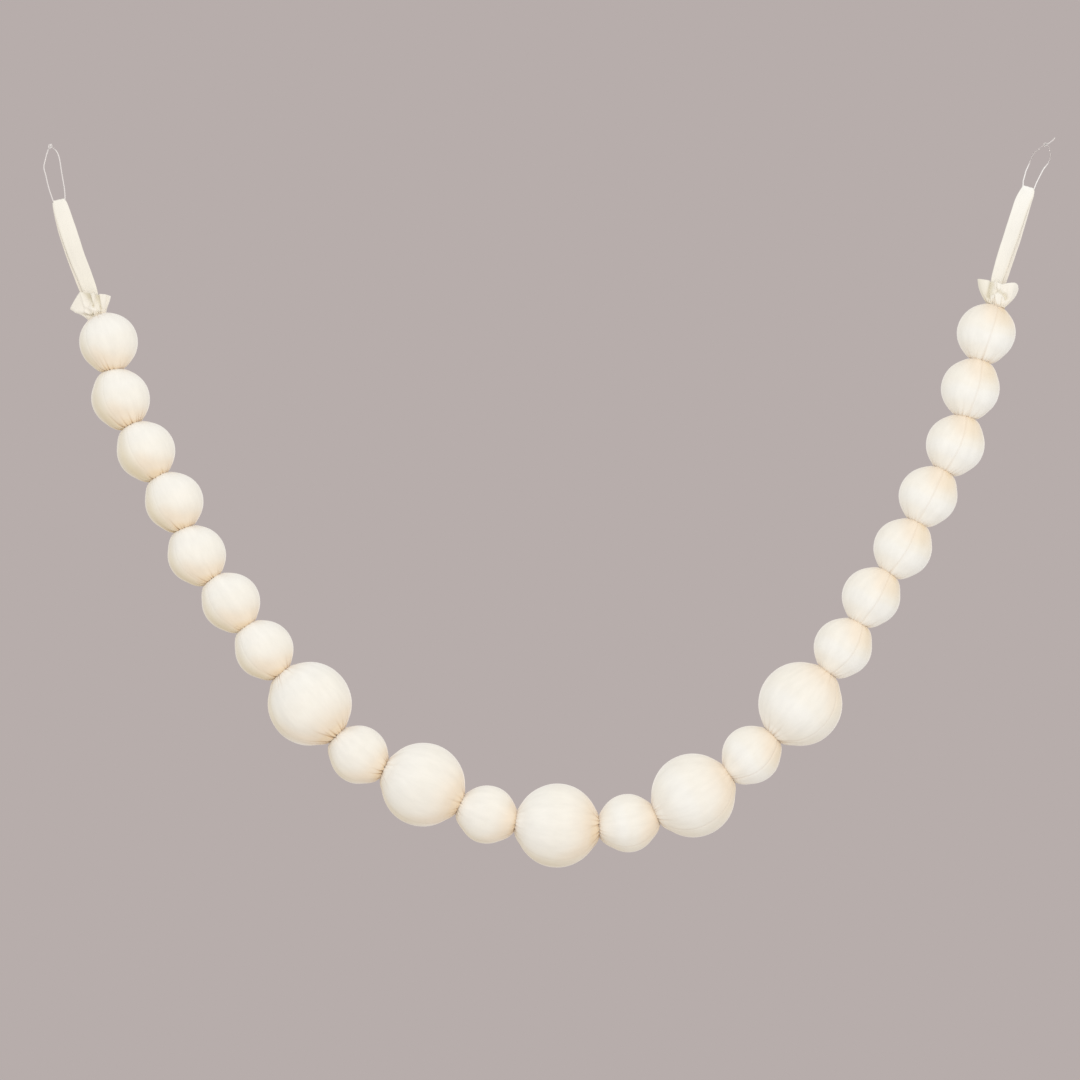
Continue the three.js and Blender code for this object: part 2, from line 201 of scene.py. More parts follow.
# %% Mesh helper
def piece_from(name, grids, facts=None):
    """Each grid is (points, ends): ends is "cap" or "loop". facts are values kept on the points."""
    points = []
    faces = []
    for grid, ends in grids:
        rows, sides = grid.shape[:2]
        index = np.arange(rows * sides).reshape(rows, sides) + sum(map(len, points))
        here = index if ends == "loop" else index[:-1]
        after = np.roll(index, -1, axis=0) if ends == "loop" else index[1:]
        quads = [here, np.roll(here, -1, 1), np.roll(after, -1, 1), after]
        faces += np.stack(quads, axis=-1).reshape(-1, 4).tolist()
        if ends == "cap":
            faces += [index[0][::-1].tolist(), index[-1].tolist()]
        points.append(grid.reshape(-1, 3))
    mesh = bpy.data.meshes.new(name)
    mesh.from_pydata(np.vstack(points).tolist(), [], faces)
    for fact, values in (facts or {}).items():
        values = np.asarray(values, np.float32)
        kind, slot = ("FLOAT", "value") if values.ndim == 2 else ("FLOAT_VECTOR", "vector")
        layer = mesh.attributes.new(fact, kind, "POINT")
        layer.data.foreach_set(slot, values.ravel())
    face_outwards(mesh)
    mesh.shade_smooth()
    piece = bpy.data.objects.new(name, mesh)
    bpy.context.collection.objects.link(piece)
    return piece


def face_outwards(mesh):
    """Turn the front of every face outwards."""
    work = bmesh.new()
    work.from_mesh(mesh)
    bmesh.ops.recalc_face_normals(work, faces=work.faces)
    work.to_mesh(mesh)
    work.free()


# %% [markdown]
# ## The nylon loops
#
# Each loop is a clear monofilament, a little over a millimetre thick. It runs through the fold at the
# top of a strap, both ends rise to a nail, and an overhand knot joins them. Monofilament is springy
# and keeps the bends of its packing, so its legs are not straight. It is milky where it was handled
# and clears towards the nail. A round tube along a smooth line is all that a thread needs, and one
# fact on its points says how clear it is there.

# %% Routes of the straps
# over, up: millimetres to the right of the end neck and above it. width: of the tape there.
# shift: how far its back run stands to the right of its front run.
STRAPS = {
    "left": [
        (-0.5, 1.2, 7, 0),
        (-3, 11, 11.5, -1),
        (-6.5, 23, 15.2, -2.5),
        (-11.5, 37.5, 16, -2.5),
        (-21.4, 63, 17, -1.8),
        (-30.3, 89.5, 17.6, -1.2),
        (-37, 111.5, 15.4, -0.4),
        (-38.5, 118, 12, 0),
    ],
    "right": [
        (0.3, 1.2, 7, 0),
        (0, 12, 10.5, 1.5),
        (1, 26, 13.6, 2.6),
        (7.2, 47, 15.6, 2.4),
        (15, 70, 16.6, 1.8),
        (25.4, 102, 16.8, 0.8),
        (30.5, 114.5, 15.4, 0.3),
        (32.5, 121, 12, 0),
    ],
}


def from_point(start, rows):
    """Points so many millimetres to the right of the start and above it."""
    return np.array([[start[0] + over * MM, start[1], start[2] + up * MM] for over, up in rows])


end_necks = {"left": necks[0], "right": necks[-1]}
strap_lines = {
    side: from_point(end_necks[side], [row[:2] for row in rows]) for side, rows in STRAPS.items()
}
for side, line in strap_lines.items():
    print("Strap,", side, "end: rises", round(float(line[-1][2] - line[0][2]) / MM), "mm")

# %% Routes of the loops
# Points, as on the solid loops: millimetres over to the right and up, from the top edge of the strap.
# clear from: the share of the height at which the nylon starts to clear. clear below, knot clear:
# how clear it is below that height, and in the knot.
LOOPS = {
    "left": {
        "left leg": [
            (-6.4, 0), (-9, 7.5), (-11.2, 15), (-13.5, 25), (-15.3, 32.7), (-13.6, 41.5), (-11.8, 48),
        ],
        "right leg": [
            (6.1, 1.5), (6, 6), (5.3, 12.7), (3, 26), (0.5, 41.5), (-1.9, 48), (-4.8, 51.4),
        ],
        "knot": (-8.9, 54),
        "tail": [(-8.2, 55.3), (-7.6, 56.6)],
        "clear from": 0.85,
        "clear below": 0.4,
        "knot clear": 0.25,
    },
    "right": {
        "left leg": [
            (-5.6, 2.6), (-5.4, 6), (-4, 11), (-2.5, 16.5), (0, 22), (4, 31.5), (7.1, 35.7), (11.1, 39.3),
        ],
        "right leg": [
            (6.4, 0), (7.8, 3.5), (10.1, 8.3), (15.2, 18), (20.2, 24.6), (22.1, 32), (20.6, 39.8),
        ],
        "knot": (17, 42.8),
        "tail": [(22.3, 45.4), (27, 50)],
        "clear from": 0.5,
        "clear below": 0.0,
        "knot clear": 0.6,
    },
}
CLEARS_OVER = 0.15  # of the height: from there on it is fully clear
for side, route in LOOPS.items():
    print("Loop,", side, "end: its knot is", route["knot"][1], "mm above the strap")

# %% Where each loop runs
THREAD_RADIUS = 0.6 * MM
CHANNEL_DEPTH = 2.2 * MM  # of the thread below the top edge of the strap
FOLD_HALF_WIDTH = 5 * MM
INSIDE_FOLD = 0.9 * MM  # how far past the middle of the fold the route starts and ends
LOOP_STEPS = 320
STRAP_TOP_STEPS = 200


def loop_route(side):
    """The line of a loop, the middle of its knot and the top of its strap."""
    line = smooth_line(strap_lines[side], STRAP_TOP_STEPS)
    top = line[-1]
    rise = unit(line[-1] - line[-2])
    fold = top - rise * CHANNEL_DEPTH
    level = np.array([rise[2], 0, -rise[0]])
    reaches = (INSIDE_FOLD, FOLD_HALF_WIDTH - THREAD_RADIUS, FOLD_HALF_WIDTH + THREAD_RADIUS)
    in_fold = [fold + level * reach for reach in reaches]
    route = LOOPS[side]
    up = from_point(top, route["right leg"])
    knot = from_point(top, [route["knot"]])
    down = from_point(top, route["left leg"])[::-1]
    back = [2 * fold - point for point in in_fold[::-1]]
    return smooth_line(np.vstack([in_fold, up, knot, down, back]), LOOP_STEPS), knot[0], top


for side in LOOPS:
    print("Loop,", side, "end: starts at", loop_route(side)[0][0].round(4))

# %% The overhand knot
KNOT_SIZE = 1.25 * MM
KNOT_DEPTH = 0.7  # of its size
KNOT_SWING = 0.5  # of its size: how far the strand swings in and out
KNOT_STRAND = 0.55 * MM
KNOT_STEPS = 72
KNOT_SIDES = 10
TAIL_STEPS = 12


def overhand_knot(name, middle, tail, clearness):
    """A trefoil of thread, made small, with its free end."""
    t = np.linspace(0, 2 * math.pi, KNOT_STEPS, endpoint=False)
    reach = KNOT_SIZE * (1 + KNOT_SWING * np.cos(3 * t))
    x = reach * np.cos(2 * t)
    y = KNOT_DEPTH * KNOT_SIZE * np.sin(3 * t)
    z = reach * np.sin(2 * t)
    turns = middle + np.stack([x, y, z], axis=-1)
    free_end = smooth_line(np.vstack([middle, tail]), TAIL_STEPS)
    grids = [
        (tube_grid(turns, KNOT_STRAND, KNOT_SIDES, closed=True), "loop"),
        (tube_grid(free_end, THREAD_RADIUS, KNOT_SIDES), "cap"),
    ]
    count = sum(grid.shape[0] * grid.shape[1] for grid, _ in grids)
    return piece_from(name, grids, {"clear": np.full((count, 1), clearness)})


print("A knot is", round(2 * KNOT_SIZE * (1 + KNOT_SWING) / MM, 2), "mm across")

# %% Make the loops and their knots
THREAD_SIDES = 12
nylon_pieces = []
for side, route in LOOPS.items():
    line, knot_middle, strap_top = loop_route(side)
    height = (line[:, 2] - line[:, 2].min()) / np.ptp(line[:, 2])
    clear = np.clip((height - route["clear from"]) / CLEARS_OVER, route["clear below"], 1)
    tube = tube_grid(line, THREAD_RADIUS, THREAD_SIDES)
    clear = clear[:, None] * np.ones(THREAD_SIDES)
    thread = piece_from("nylon_loop_" + side, [(tube, "cap")], {"clear": clear})
    tail = from_point(strap_top, route["tail"])
    knot = overhand_knot("nylon_knot_" + side, knot_middle, tail, route["knot clear"])
    for piece in (thread, knot):
        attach(piece, "root")
        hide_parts("loop_" + side)
        nylon_pieces.append(piece)

# %% [markdown]
# ## The balls
#
# A ball in its velvet tube is round, but not like a marble. Where the tube is tied, a cloth as wide as
# the ball is drawn into a neck a third as wide, so it puckers: creases run out from the neck, deep and
# close at first, and die away after a centimetre or two. Between them the slack cloth swells and
# presses on the next ball. The seam of the tube runs along every ball as a thin groove.
#
# A sphere from the menu has no such creases. Each ball is therefore worked out row by row, from its
# first neck to its last, and every point is moved in or out by the creases, the seam and a little
# unevenness. Five short functions do most of the work, here and further on.

# %% Five short functions
def between(start, stop, share):
    """A share of the way from one value to another."""
    return start + (stop - start) * share


def rising(value, start, over):
    """0 up to the start, then evenly up to 1 over the distance given."""
    return np.clip((value - start) / over, 0, 1)


def eased(share):
    """A rise from 0 to 1 with a soft start and a soft stop."""
    return share**2 * (3 - 2 * share)


def hump(away, width):
    """1 in the middle, falling softly to nearly nothing at two widths from it."""
    return np.exp(-((away / width) ** 2))


def wrapped(angle):
    """The same angle, as a turn of at most half a circle either way."""
    return np.angle(np.exp(1j * angle))


print("A tenth of the way, eased:", round(eased(0.1), 3))
print("A hump, one width and two widths from its middle:", hump(np.array([1, 2]), 1).round(3))


# %% Table of the balls
# seam: degrees round from the front to the seam, towards the outside of the garland's curve.
# first, last: how strong the gathers are at the ball's first and last neck, 1 being the strongest.
# deeper: how much deeper the cloth's colour is past the seam, where the pile lies the other way
# and painted shade is laid on the outer side.
BALLS = [
    (37, 0.45, 1.0, 0.7),
    (24, 0.45, 1.0, 0.8),
    (20, 0.50, 0.8, 0.9),
    (29, 0.40, 0.9, 0.9),
    (34, 0.45, 0.9, 0.9),
    (32, 0.35, 0.8, 0.9),
    (33, 0.40, 0.8, 0.9),
    (56, 0.65, 0.9, 1.0),
    (54, 0.50, 0.9, 1.0),
    (58, 0.70, 0.9, 0.9),
    (60, 0.50, 0.7, 0.9),
    (48, 0.50, 0.9, 0.85),
    (47, 0.75, 0.5, 0.35),
    (43, 0.80, 0.5, 0.25),
    (30, 0.80, 0.4, 0.1),
    (42, 0.85, 0.5, 0.15),
    (17, 0.85, 0.3, 0.0),
    (9, 0.85, 0.3, 0.0),
    (2, 0.85, 0.3, 0.0),
    (1, 0.90, 0.3, 0.0),
    (2, 0.90, 0.3, 0.0),
    (7, 0.95, 0.3, 0.0),
    (2, 1.00, 0.4, 0.0),
]
print("The seam lies", min(BALLS)[0], "to", max(BALLS)[0], "degrees round the balls")

# %% The shape of a ball, without its creases
NECK_RADIUS = 5.5 * MM
END_NECK_RADIUS = 8 * MM
# The first rows, in the crevice round the neck: millimetres out from the neck and below its end.
CREVICE = np.array([(-0.5, 0.05), (-0.3, 0.4), (-0.1, 1.0), (0.5, 1.45), (1.4, 1.1)]) * MM
LIP = 2.6 * MM  # from the neck to the first row of the ball itself
END_REACH = 0.72  # of the radius: how far out the rows of an end go
END_ROWS = 20
CLOSER_TO_NECK = 1.25  # a power: over 1, the rows of an end stand closer near the neck
WAIST_ROWS = 16
PRESSED = 1.0 * MM  # how much flatter a ball is where the next one presses on it
PRESSED_REACH = 12 * MM
TOUCHING = 0.12 * MM


def end_rows(radius, neck):
    """Distance from the axis and depth below the neck's end, from the neck outwards."""
    out, below = CREVICE.T
    lip = neck + LIP
    spread = np.linspace(0, 1, END_ROWS) ** CLOSER_TO_NECK
    reach = np.concatenate([neck + out, lip + (radius * END_REACH - lip) * spread])
    sphere = radius - np.sqrt(radius**2 - reach**2)
    pressed = sphere - PRESSED * np.exp(-((reach / PRESSED_REACH) ** 4))
    depth = np.maximum(pressed, TOUCHING)
    depth[:len(below)] = below
    return reach, depth


def ball_rows(radius, first_neck, last_neck):
    """Distance from the axis and place along it, from the first neck to the last."""
    out, depth = end_rows(radius, first_neck)
    back, back_depth = end_rows(radius, last_neck)
    edge = math.asin(END_REACH)
    waist = np.linspace(edge, math.pi - edge, WAIST_ROWS + 2)[1:-1]
    reach = np.concatenate([out, radius * np.sin(waist), back[::-1]])
    place = np.concatenate([depth - radius, -radius * np.cos(waist), (radius - back_depth)[::-1]])
    return np.stack([reach, place], axis=-1)


print("A ball has", len(ball_rows(radii[1], NECK_RADIUS, NECK_RADIUS)), "rows")

# %% Lay out a ball
BALL_SIDES = 216
CLOSER_AT_SEAM = 0.45  # of their even spacing: how much closer the columns stand at the seam


def laid_out(number):
    """What the creases and tones need to know of a ball. Columns go round it, rows along it.

    reach, place: of a row, out from the axis and along it. run, run_back: along the surface, from the
    first neck and from the last. from_neck: from the nearer of the two. share: of the way between them.
    around, from_seam: of a column, its angle and its distance from the seam. from_front: its angle from
    the front. outermost: the angle at which the outside of the garland's curve lies.
    """
    ball = SimpleNamespace(radius=radii[number - 1], centre=centres[number - 1])
    ball.seam, ball.first, ball.last, ball.deeper = BALLS[number - 1]
    first_neck = END_NECK_RADIUS if number == 1 else NECK_RADIUS
    last_neck = END_NECK_RADIUS if number == BALL_COUNT else NECK_RADIUS
    rows = ball_rows(ball.radius, first_neck, last_neck)
    ball.reach, ball.place = rows[:, :1], rows[:, 1:]
    ball.run = np.concatenate([[0], np.cumsum(np.hypot(*np.diff(rows, axis=0).T))])[:, None]
    ball.run_back = ball.run[-1] - ball.run
    ball.from_neck = np.minimum(ball.run, ball.run_back)
    ball.share = np.arccos(np.clip(-ball.place / ball.radius, -1, 1)) / math.pi
    step = 2 * math.pi * np.linspace(0, 1, BALL_SIDES, endpoint=False)
    ball.around = step - CLOSER_AT_SEAM * np.sin(step)
    ball.from_seam = wrapped(ball.around) * ball.reach
    ball.from_front = ball.around + math.radians(ball.seam)
    ball.outermost = math.radians(90 - ball.seam)
    return ball


example = laid_out(8)
print("Ball 8:", round(float(example.run[-1, 0]) / MM, 1), "mm of cloth from neck to neck")

# %% [markdown]
# ### Gathers and swellings
#
# The thread draws the cloth into many small valleys, no two alike. Each starts at the neck, leans a
# little to one side, widens and dies away. The tube has more slack on the outside of the curve that
# the garland hangs in, so the creases there are longer and deeper. Chance decides the rest, and it
# starts from the ball's own number, so the same ball comes out each time. The cloth between the
# creases then swells until it meets the next ball.

# %% Creases
CREASE_COUNT = 42
CREASE_DEPTH = 1.25 * MM
CREASE_WIDTH = 0.8 * MM
WIDENS_OVER = 12 * MM
NARROW_START = 0.6  # of its width, which a crease has at the neck
STRAY = 0.38  # of the even spacing: how far a crease can stand from its place
SHALLOWEST = 0.45
LESS_INSIDE = 0.25  # how much weaker creases are halfway to the inside of the curve
BY_SLACK = 0.65  # how much of the depth depends on the slack
SHORTEST = 17  # degrees of the ball that a crease reaches over
LONGER = 42
MORE_SHORT_ONES = 1.3
LEAN = 0.12
LEANS_OVER = 15 * MM
CREASE_END = 1.25  # of its length, where a crease is gone
CREASE_FADE = 1.5


def creases(chance, ball, from_neck, strength):
    """How far each point sinks into the gathers of one neck."""
    spacing = 2 * math.pi / CREASE_COUNT
    width = CREASE_WIDTH * between(NARROW_START, 1, np.minimum(from_neck / WIDENS_OVER, 1))
    sunk = 0
    for number in range(CREASE_COUNT):
        angle = (number + chance.uniform(-STRAY, STRAY)) * spacing
        slack = strength * (1 - LESS_INSIDE * (1 - math.cos(angle - ball.outermost)))
        depth = CREASE_DEPTH * chance.uniform(SHALLOWEST, 1.0) * (1 - BY_SLACK * (1 - slack))
        reaches = SHORTEST + LONGER * slack * chance.uniform(0, 1) ** MORE_SHORT_ONES
        length = ball.radius * math.radians(reaches)
        lean = chance.uniform(-LEAN, LEAN) * from_neck / LEANS_OVER
        away = wrapped(ball.around - angle - lean) * ball.reach
        fade = np.clip(CREASE_END - from_neck / length, 0, 1) ** CREASE_FADE
        sunk = np.maximum(sunk, depth * fade * hump(away, width))
    return sunk


print("Each neck has", CREASE_COUNT, "creases, up to", SHORTEST + LONGER, "degrees of the ball long")

# %% Shallower close to the neck
CLOSE_TO_NECK = 15 * MM
SHALLOW = 0.2
SHALLOW_REACH = 10 * MM  # distance from the axis up to which creases are shallow
DEEPER_SOONER = 3 * MM
SHALLOW_ENDS_OVER = 7 * MM


def shallow_at_neck(ball, sunk):
    """Right at the neck the cloth has no room to sink."""
    reach = SHALLOW_REACH - DEEPER_SOONER * ball.deeper
    shallow = between(SHALLOW, 1, rising(ball.reach, reach, SHALLOW_ENDS_OVER))
    return np.where(ball.from_neck < CLOSE_TO_NECK, shallow, 1) * sunk


print("Creases have their full depth", round((SHALLOW_REACH + SHALLOW_ENDS_OVER) / MM), "mm from the axis")

# %% Swellings
# How far out the cloth swells as much as it can, where it swells no more, and how fast it fades:
# on the inside of the garland's curve, on the outside of it and at the front and back.
FULL_TO = {"inner": 6.5 * MM, "outer": 11 * MM, "front": 14 * MM}
FULL_NO_MORE = {"inner": 22 * MM, "outer": 24 * MM, "front": 24 * MM}
FULL_FADE = {"inner": 3, "outer": 1.4, "front": 1.2}
PRESSED_INTO = 0.35 * MM  # how far two balls press into each other
CREVICE_WIDTH = 4.2 * MM  # the cloth doesn't swell in the crevice itself
DIP = (0.06, 0.36)  # how much less pale cloth swells in a crease, and deeper cloth
HALF_CREASE = 0.5 * CREASE_DEPTH  # a crease this deep has all of its dip


def swollen(ball, room, sunk):
    """How far the cloth between two creases swells towards the next ball, by the room left for it."""
    outer_side = np.cos(ball.around - ball.outermost)
    outer = eased(np.clip(1 + outer_side, 0, 1))
    front = (1 - outer_side**2) ** 2

    def at(limits):
        return between(between(limits["inner"], limits["outer"], outer), limits["front"], front)

    no_more = at(FULL_NO_MORE)
    fade = np.clip((no_more - ball.reach) / (no_more - at(FULL_TO)), 0, 1) ** at(FULL_FADE)
    dip = between(*DIP, ball.deeper) * np.clip(sunk / HALF_CREASE, 0, 1)
    return (room + PRESSED_INTO) * fade * (1 - dip) * (ball.from_neck > CREVICE_WIDTH)


print("The cloth swells as far out as", round(max(FULL_NO_MORE.values()) / MM), "mm from the axis")

# %% Seam and unevenness
SEAM_DEPTH = 0.4 * MM
SEAM_WIDTH = 0.9 * MM
SOFTER_SEAM = 0.6  # how much of the groove is lost where the pile past the seam is deeper
UNEVEN = 0.35 * MM
UNEVEN_EVERY = 22 * MM


def unevenness(points, scale):
    """Soft ups and downs between -1 and 1, about as far apart as the scale says."""
    return np.array([noise.noise(Vector(point / scale)) for point in points.reshape(-1, 3)])


def seam_groove(ball):
    """How far the stitched line draws the cloth in."""
    return -SEAM_DEPTH * hump(ball.from_seam, SEAM_WIDTH)


print("The seam's groove is", round(-float(seam_groove(example).min()) / MM, 2), "mm deep")

# %% Put the shape together
def ball_points(number, ball, sunk):
    """Every point of a ball, from the round shape, the swellings, the creases and the seam."""
    way_in, way_out = ways[number - 1], ways[number]
    way = unit(way_in * (1 - ball.share) + way_out * ball.share)
    outer = -np.cross(way, DEPTH)
    angle = ball.from_front[None, :, None]
    facing = np.sin(angle) * outer[:, None] - np.cos(angle) * DEPTH
    along_way = way * ball.place
    out = facing * ball.reach[..., None]
    points = (ball.centre + along_way)[:, None] + out
    # Each half of the ball, the way out of it, and the ball that has no other beyond it.
    ends = ((ball.place < 0, -way_in, 1), (ball.place > 0, way_out, BALL_COUNT))
    for at_end, neck_way, end_ball in ends:
        if number != end_ball:
            room = ball.radius - (points - ball.centre) @ neck_way
            points = points + (swollen(ball, room, sunk) * at_end)[..., None] * neck_way
    bumpy = unevenness(points + number, UNEVEN_EVERY).reshape(sunk.shape)
    moved = seam_groove(ball) * (1 - SOFTER_SEAM * ball.deeper) - sunk
    moved = moved + UNEVEN * bumpy * np.clip(ball.reach / ball.radius, 0, 1)
    return points + unit(out + along_way[:, None]) * moved[..., None]


plain = ball_points(8, example, np.zeros((len(example.run), BALL_SIDES)))
print("Ball 8 without creases is", round(float(np.ptp(plain[..., 1])) / MM, 1), "mm thick")

# %% [markdown]
# ### How the pile looks: painted sheen and painted shade
#
# The balls were all pushed into the tube from one end, which brushed the pile one way. How that pile
# looks under the front lamp is painted into the colour as painted sheen: each ball whiter at its first
# neck and warmer at its last. Past the seam, towards the outside of the curve, the pile leans the other
# way, and painted shade is laid there as well, on the outer and lower side, most of all on the left arm.
# On top come a warm band along the seam, painted sheen that pales the sides and painted shade at the
# first neck of the big balls. All this is worked out as facts on the points, between 0 and 1, and the
# velvet turns them into colours.

# %% How far past the seam the cloth is
SEAM_EDGE = (0.9 * MM, 2.2 * MM)  # of the edge between the two tones, on pale and on deeper cloth
TONE_STEP = (0.3, 0.7)  # the tone right past a seam near the front, and past one far round
TONE_REACH = math.radians(23)
TONE_FADES = {"from": math.radians(30), "over": math.radians(30), "by": 0.35}
TONE_ENDS_OVER = math.radians(75)  # at the back the tone is lost, so that no edge shows there
TONE_BEFORE_SEAM = 0.25
TONE_BEFORE_REACH = 9 * MM


def outside_of_seam(ball, far_round):
    """0 before the seam and 1 a good way past it, and less again at the back."""
    turned = wrapped(ball.around)
    past = 1 / (1 + np.exp(-ball.from_seam / between(*SEAM_EDGE, ball.deeper)))
    spread = between(between(*TONE_STEP, far_round), 1, rising(turned, 0, TONE_REACH))
    # Less of it far past the seam, so that the rim is painted paler, as painted sheen.
    spread = spread * (1 - TONE_FADES["by"] * rising(turned, TONE_FADES["from"], TONE_FADES["over"]))
    spread = spread * eased(np.clip((math.pi - turned) / TONE_ENDS_OVER, 0, 1))
    # Painted shade just before a seam that lies far round, near the rim.
    before = TONE_BEFORE_SEAM * far_round * hump(ball.from_seam, TONE_BEFORE_REACH)
    return past * spread + (1 - past) * before


print("Past the seam of ball 8:", outside_of_seam(example, 1).max().round(2), "at most")

# %% A band, painted sheen and painted shade
# Each share is a share of the way from the first neck to the last.
WARM = (0.11, 0.15)  # on pale cloth and on deeper cloth
WARM_BAND = {"middle": -4 * MM, "width": 11 * MM, "from": 0.35, "over": 0.15}
WHITER = {"by": 0.25, "at": 0.43, "width": 0.1, "less inside": 0.9}
# Painted shade: the first neck of a pale ball is painted a little warmer and deeper.
START = {"by": 0.12, "to": 0.36, "over": 0.1}  # the first neck is a little warmer than what follows
# Painted sheen: the sides are painted paler past the waist, more on the outer side.
PALER_SIDES = {"by": 0.35, "from": 0.5, "more if deeper": 0.6, "more if off side": 0.7}


def band_sheen_and_shade(ball, off_side):
    """Deeper in a band along the seam, paler at the sides as painted sheen, whitest before the waist, and
    warmer at the first neck as painted shade.
    """
    outwards = np.sin(ball.from_front)
    band = hump(ball.from_seam - WARM_BAND["middle"], WARM_BAND["width"])
    band = band * rising(ball.share, WARM_BAND["from"], WARM_BAND["over"])
    inside = WHITER["less inside"] * np.clip(-outwards, 0, 1) ** 3
    whiter = WHITER["by"] * hump(ball.share - WHITER["at"], WHITER["width"]) * (1 - inside)
    start = START["by"] * np.clip((START["to"] - ball.share) / START["over"], 0, 1)
    more = PALER_SIDES["more if deeper"] * ball.deeper + PALER_SIDES["more if off side"] * off_side
    past_waist = np.clip(ball.share - PALER_SIDES["from"], 0, 1)
    sides = PALER_SIDES["by"] * (1 + more * (outwards > 0)) * past_waist * outwards**2
    return between(*WARM, ball.deeper) * band - sides - (1 - ball.deeper) * (whiter - start)


print("Brushing makes ball 8 deeper by", band_sheen_and_shade(example, 1).max().round(2), "at most")

# %% The painted sheen of the pile
PILE_SHEEN_BEFORE_SEAM = -0.35
PILE_SHEEN_PAST_SEAM = 0.8
NEAR_LAST = {"by": 0.1, "from": 0.7, "over": 0.1}


def changed(ball, by):
    """The size of a change that sets in along the ball."""
    return by["by"] * rising(ball.share, by["from"], by["over"])


def painted_pile_sheen_of(ball, outside, off_side):
    """Painted sheen of the pile, by the way it leans: 0 where it looks whitest, 1 where it looks deepest."""
    seam_side = (ball.share - 0.5) * (PILE_SHEEN_BEFORE_SEAM + PILE_SHEEN_PAST_SEAM * outside)
    near_last = ball.deeper * changed(ball, NEAR_LAST)
    return ball.share + (1 - ball.deeper) * seam_side + band_sheen_and_shade(ball, off_side) + near_last


ball_8_sheen = painted_pile_sheen_of(example, 0, 1)
print("The pile of ball 8 goes from", ball_8_sheen.min().round(2), "to", ball_8_sheen.max().round(2))

# %% Painted shade past the seam
AT_FIRST = (0.35, 0.85)  # the tone at the first neck, past a near seam and past one far round
DOWN_THE_BALL = {"from": 0.15, "over": 0.5}
LOST_IF_FAR = {"by": 0.9, "from": 0.5, "over": 0.2}
MORE_IF_NEAR = {"by": 0.25, "from": 0.65, "over": 0.15}
DEEPER_AT_LAST = {"by": 0.2, "from": 0.5, "over": 0.12}
LOW_SIDE_SHADE = {"by": 0.42, "to": 0.55, "over": 0.2, "deeper from": 0.3, "power": 1.5}


def painted_outer_shade(ball, outside, far_round, off_side):
    """How much painted shade the cloth gets: past the seam, where the pile also lies the other way, and low
    on the outer side.
    """
    down = rising(ball.share, DOWN_THE_BALL["from"], DOWN_THE_BALL["over"])
    tone = ball.deeper * between(between(*AT_FIRST, far_round), 1, down)
    tone = tone * (1 - far_round * changed(ball, LOST_IF_FAR))
    tone = tone * (1 + (1 - far_round) * changed(ball, MORE_IF_NEAR))
    tone = tone + (1 - ball.deeper) * changed(ball, DEEPER_AT_LAST)
    # Painted shade on the lower outer side of pale balls whose seam lies off to the side, towards their
    # first neck.
    pale = rising(1 - ball.deeper, 0, LOW_SIDE_SHADE["deeper from"]) * off_side
    first_half = np.clip((LOW_SIDE_SHADE["to"] - ball.share) / LOW_SIDE_SHADE["over"], 0, 1)
    outer_side = np.clip(np.sin(ball.from_front), 0, 1) ** LOW_SIDE_SHADE["power"]
    return tone * outside + LOW_SIDE_SHADE["by"] * pale * first_half * outer_side


print("Tone of ball 8 past the seam:", painted_outer_shade(example, 1, 1, 1).max().round(2), "at most")

# %% Shade in the creases and the seam
SHADE_AT_FIRST = (0.75, 0.8)  # of a full crease, on pale cloth and on deeper cloth
SHADE_AT_LAST = (0.45, 1.6)
CREASE_SHADE_FROM = 4 * MM
SEAM_SHADE = 0.11
SEAM_LESS_IF_DEEPER = 0.85
SEAM_MORE_IF_FAR = 0.8


def shade_of(ball, at_first, at_last, far_round):
    """The painted shade in the creases and in the seam's groove."""
    shown = at_first * between(*SHADE_AT_FIRST, ball.deeper) + at_last * between(*SHADE_AT_LAST, ball.deeper)
    shown = shown / CREASE_DEPTH * np.clip(ball.from_neck / CREASE_SHADE_FROM, 0, 1)
    seam = SEAM_SHADE * (1 - SEAM_LESS_IF_DEEPER * ball.deeper + SEAM_MORE_IF_FAR * far_round)
    return np.clip(shown - seam_groove(ball) / SEAM_DEPTH * seam, 0, 1)


print("Shade in the seam of ball 8:", shade_of(example, 0, 0, 1).max().round(3))

# %% Make the balls
BALL_SEED = 100
OFF_SIDE = {"from": 38, "over": 5}  # degrees: a seam past these lies off to the side
FAR_ROUND = {"from": 40, "over": 15}  # and past these far round
# Painted warm shade near each neck, where the drawn-in cloth goes into the crevice: how far it reaches, and
# how strong it is at the first and at the last neck.
NECK_SHADE_REACH = 0.5  # of the radius: how far from a neck the drawn-in cloth looks warmer
NECK_SHADE_AT_FIRST = 0.45
NECK_SHADE_AT_LAST = 0.75


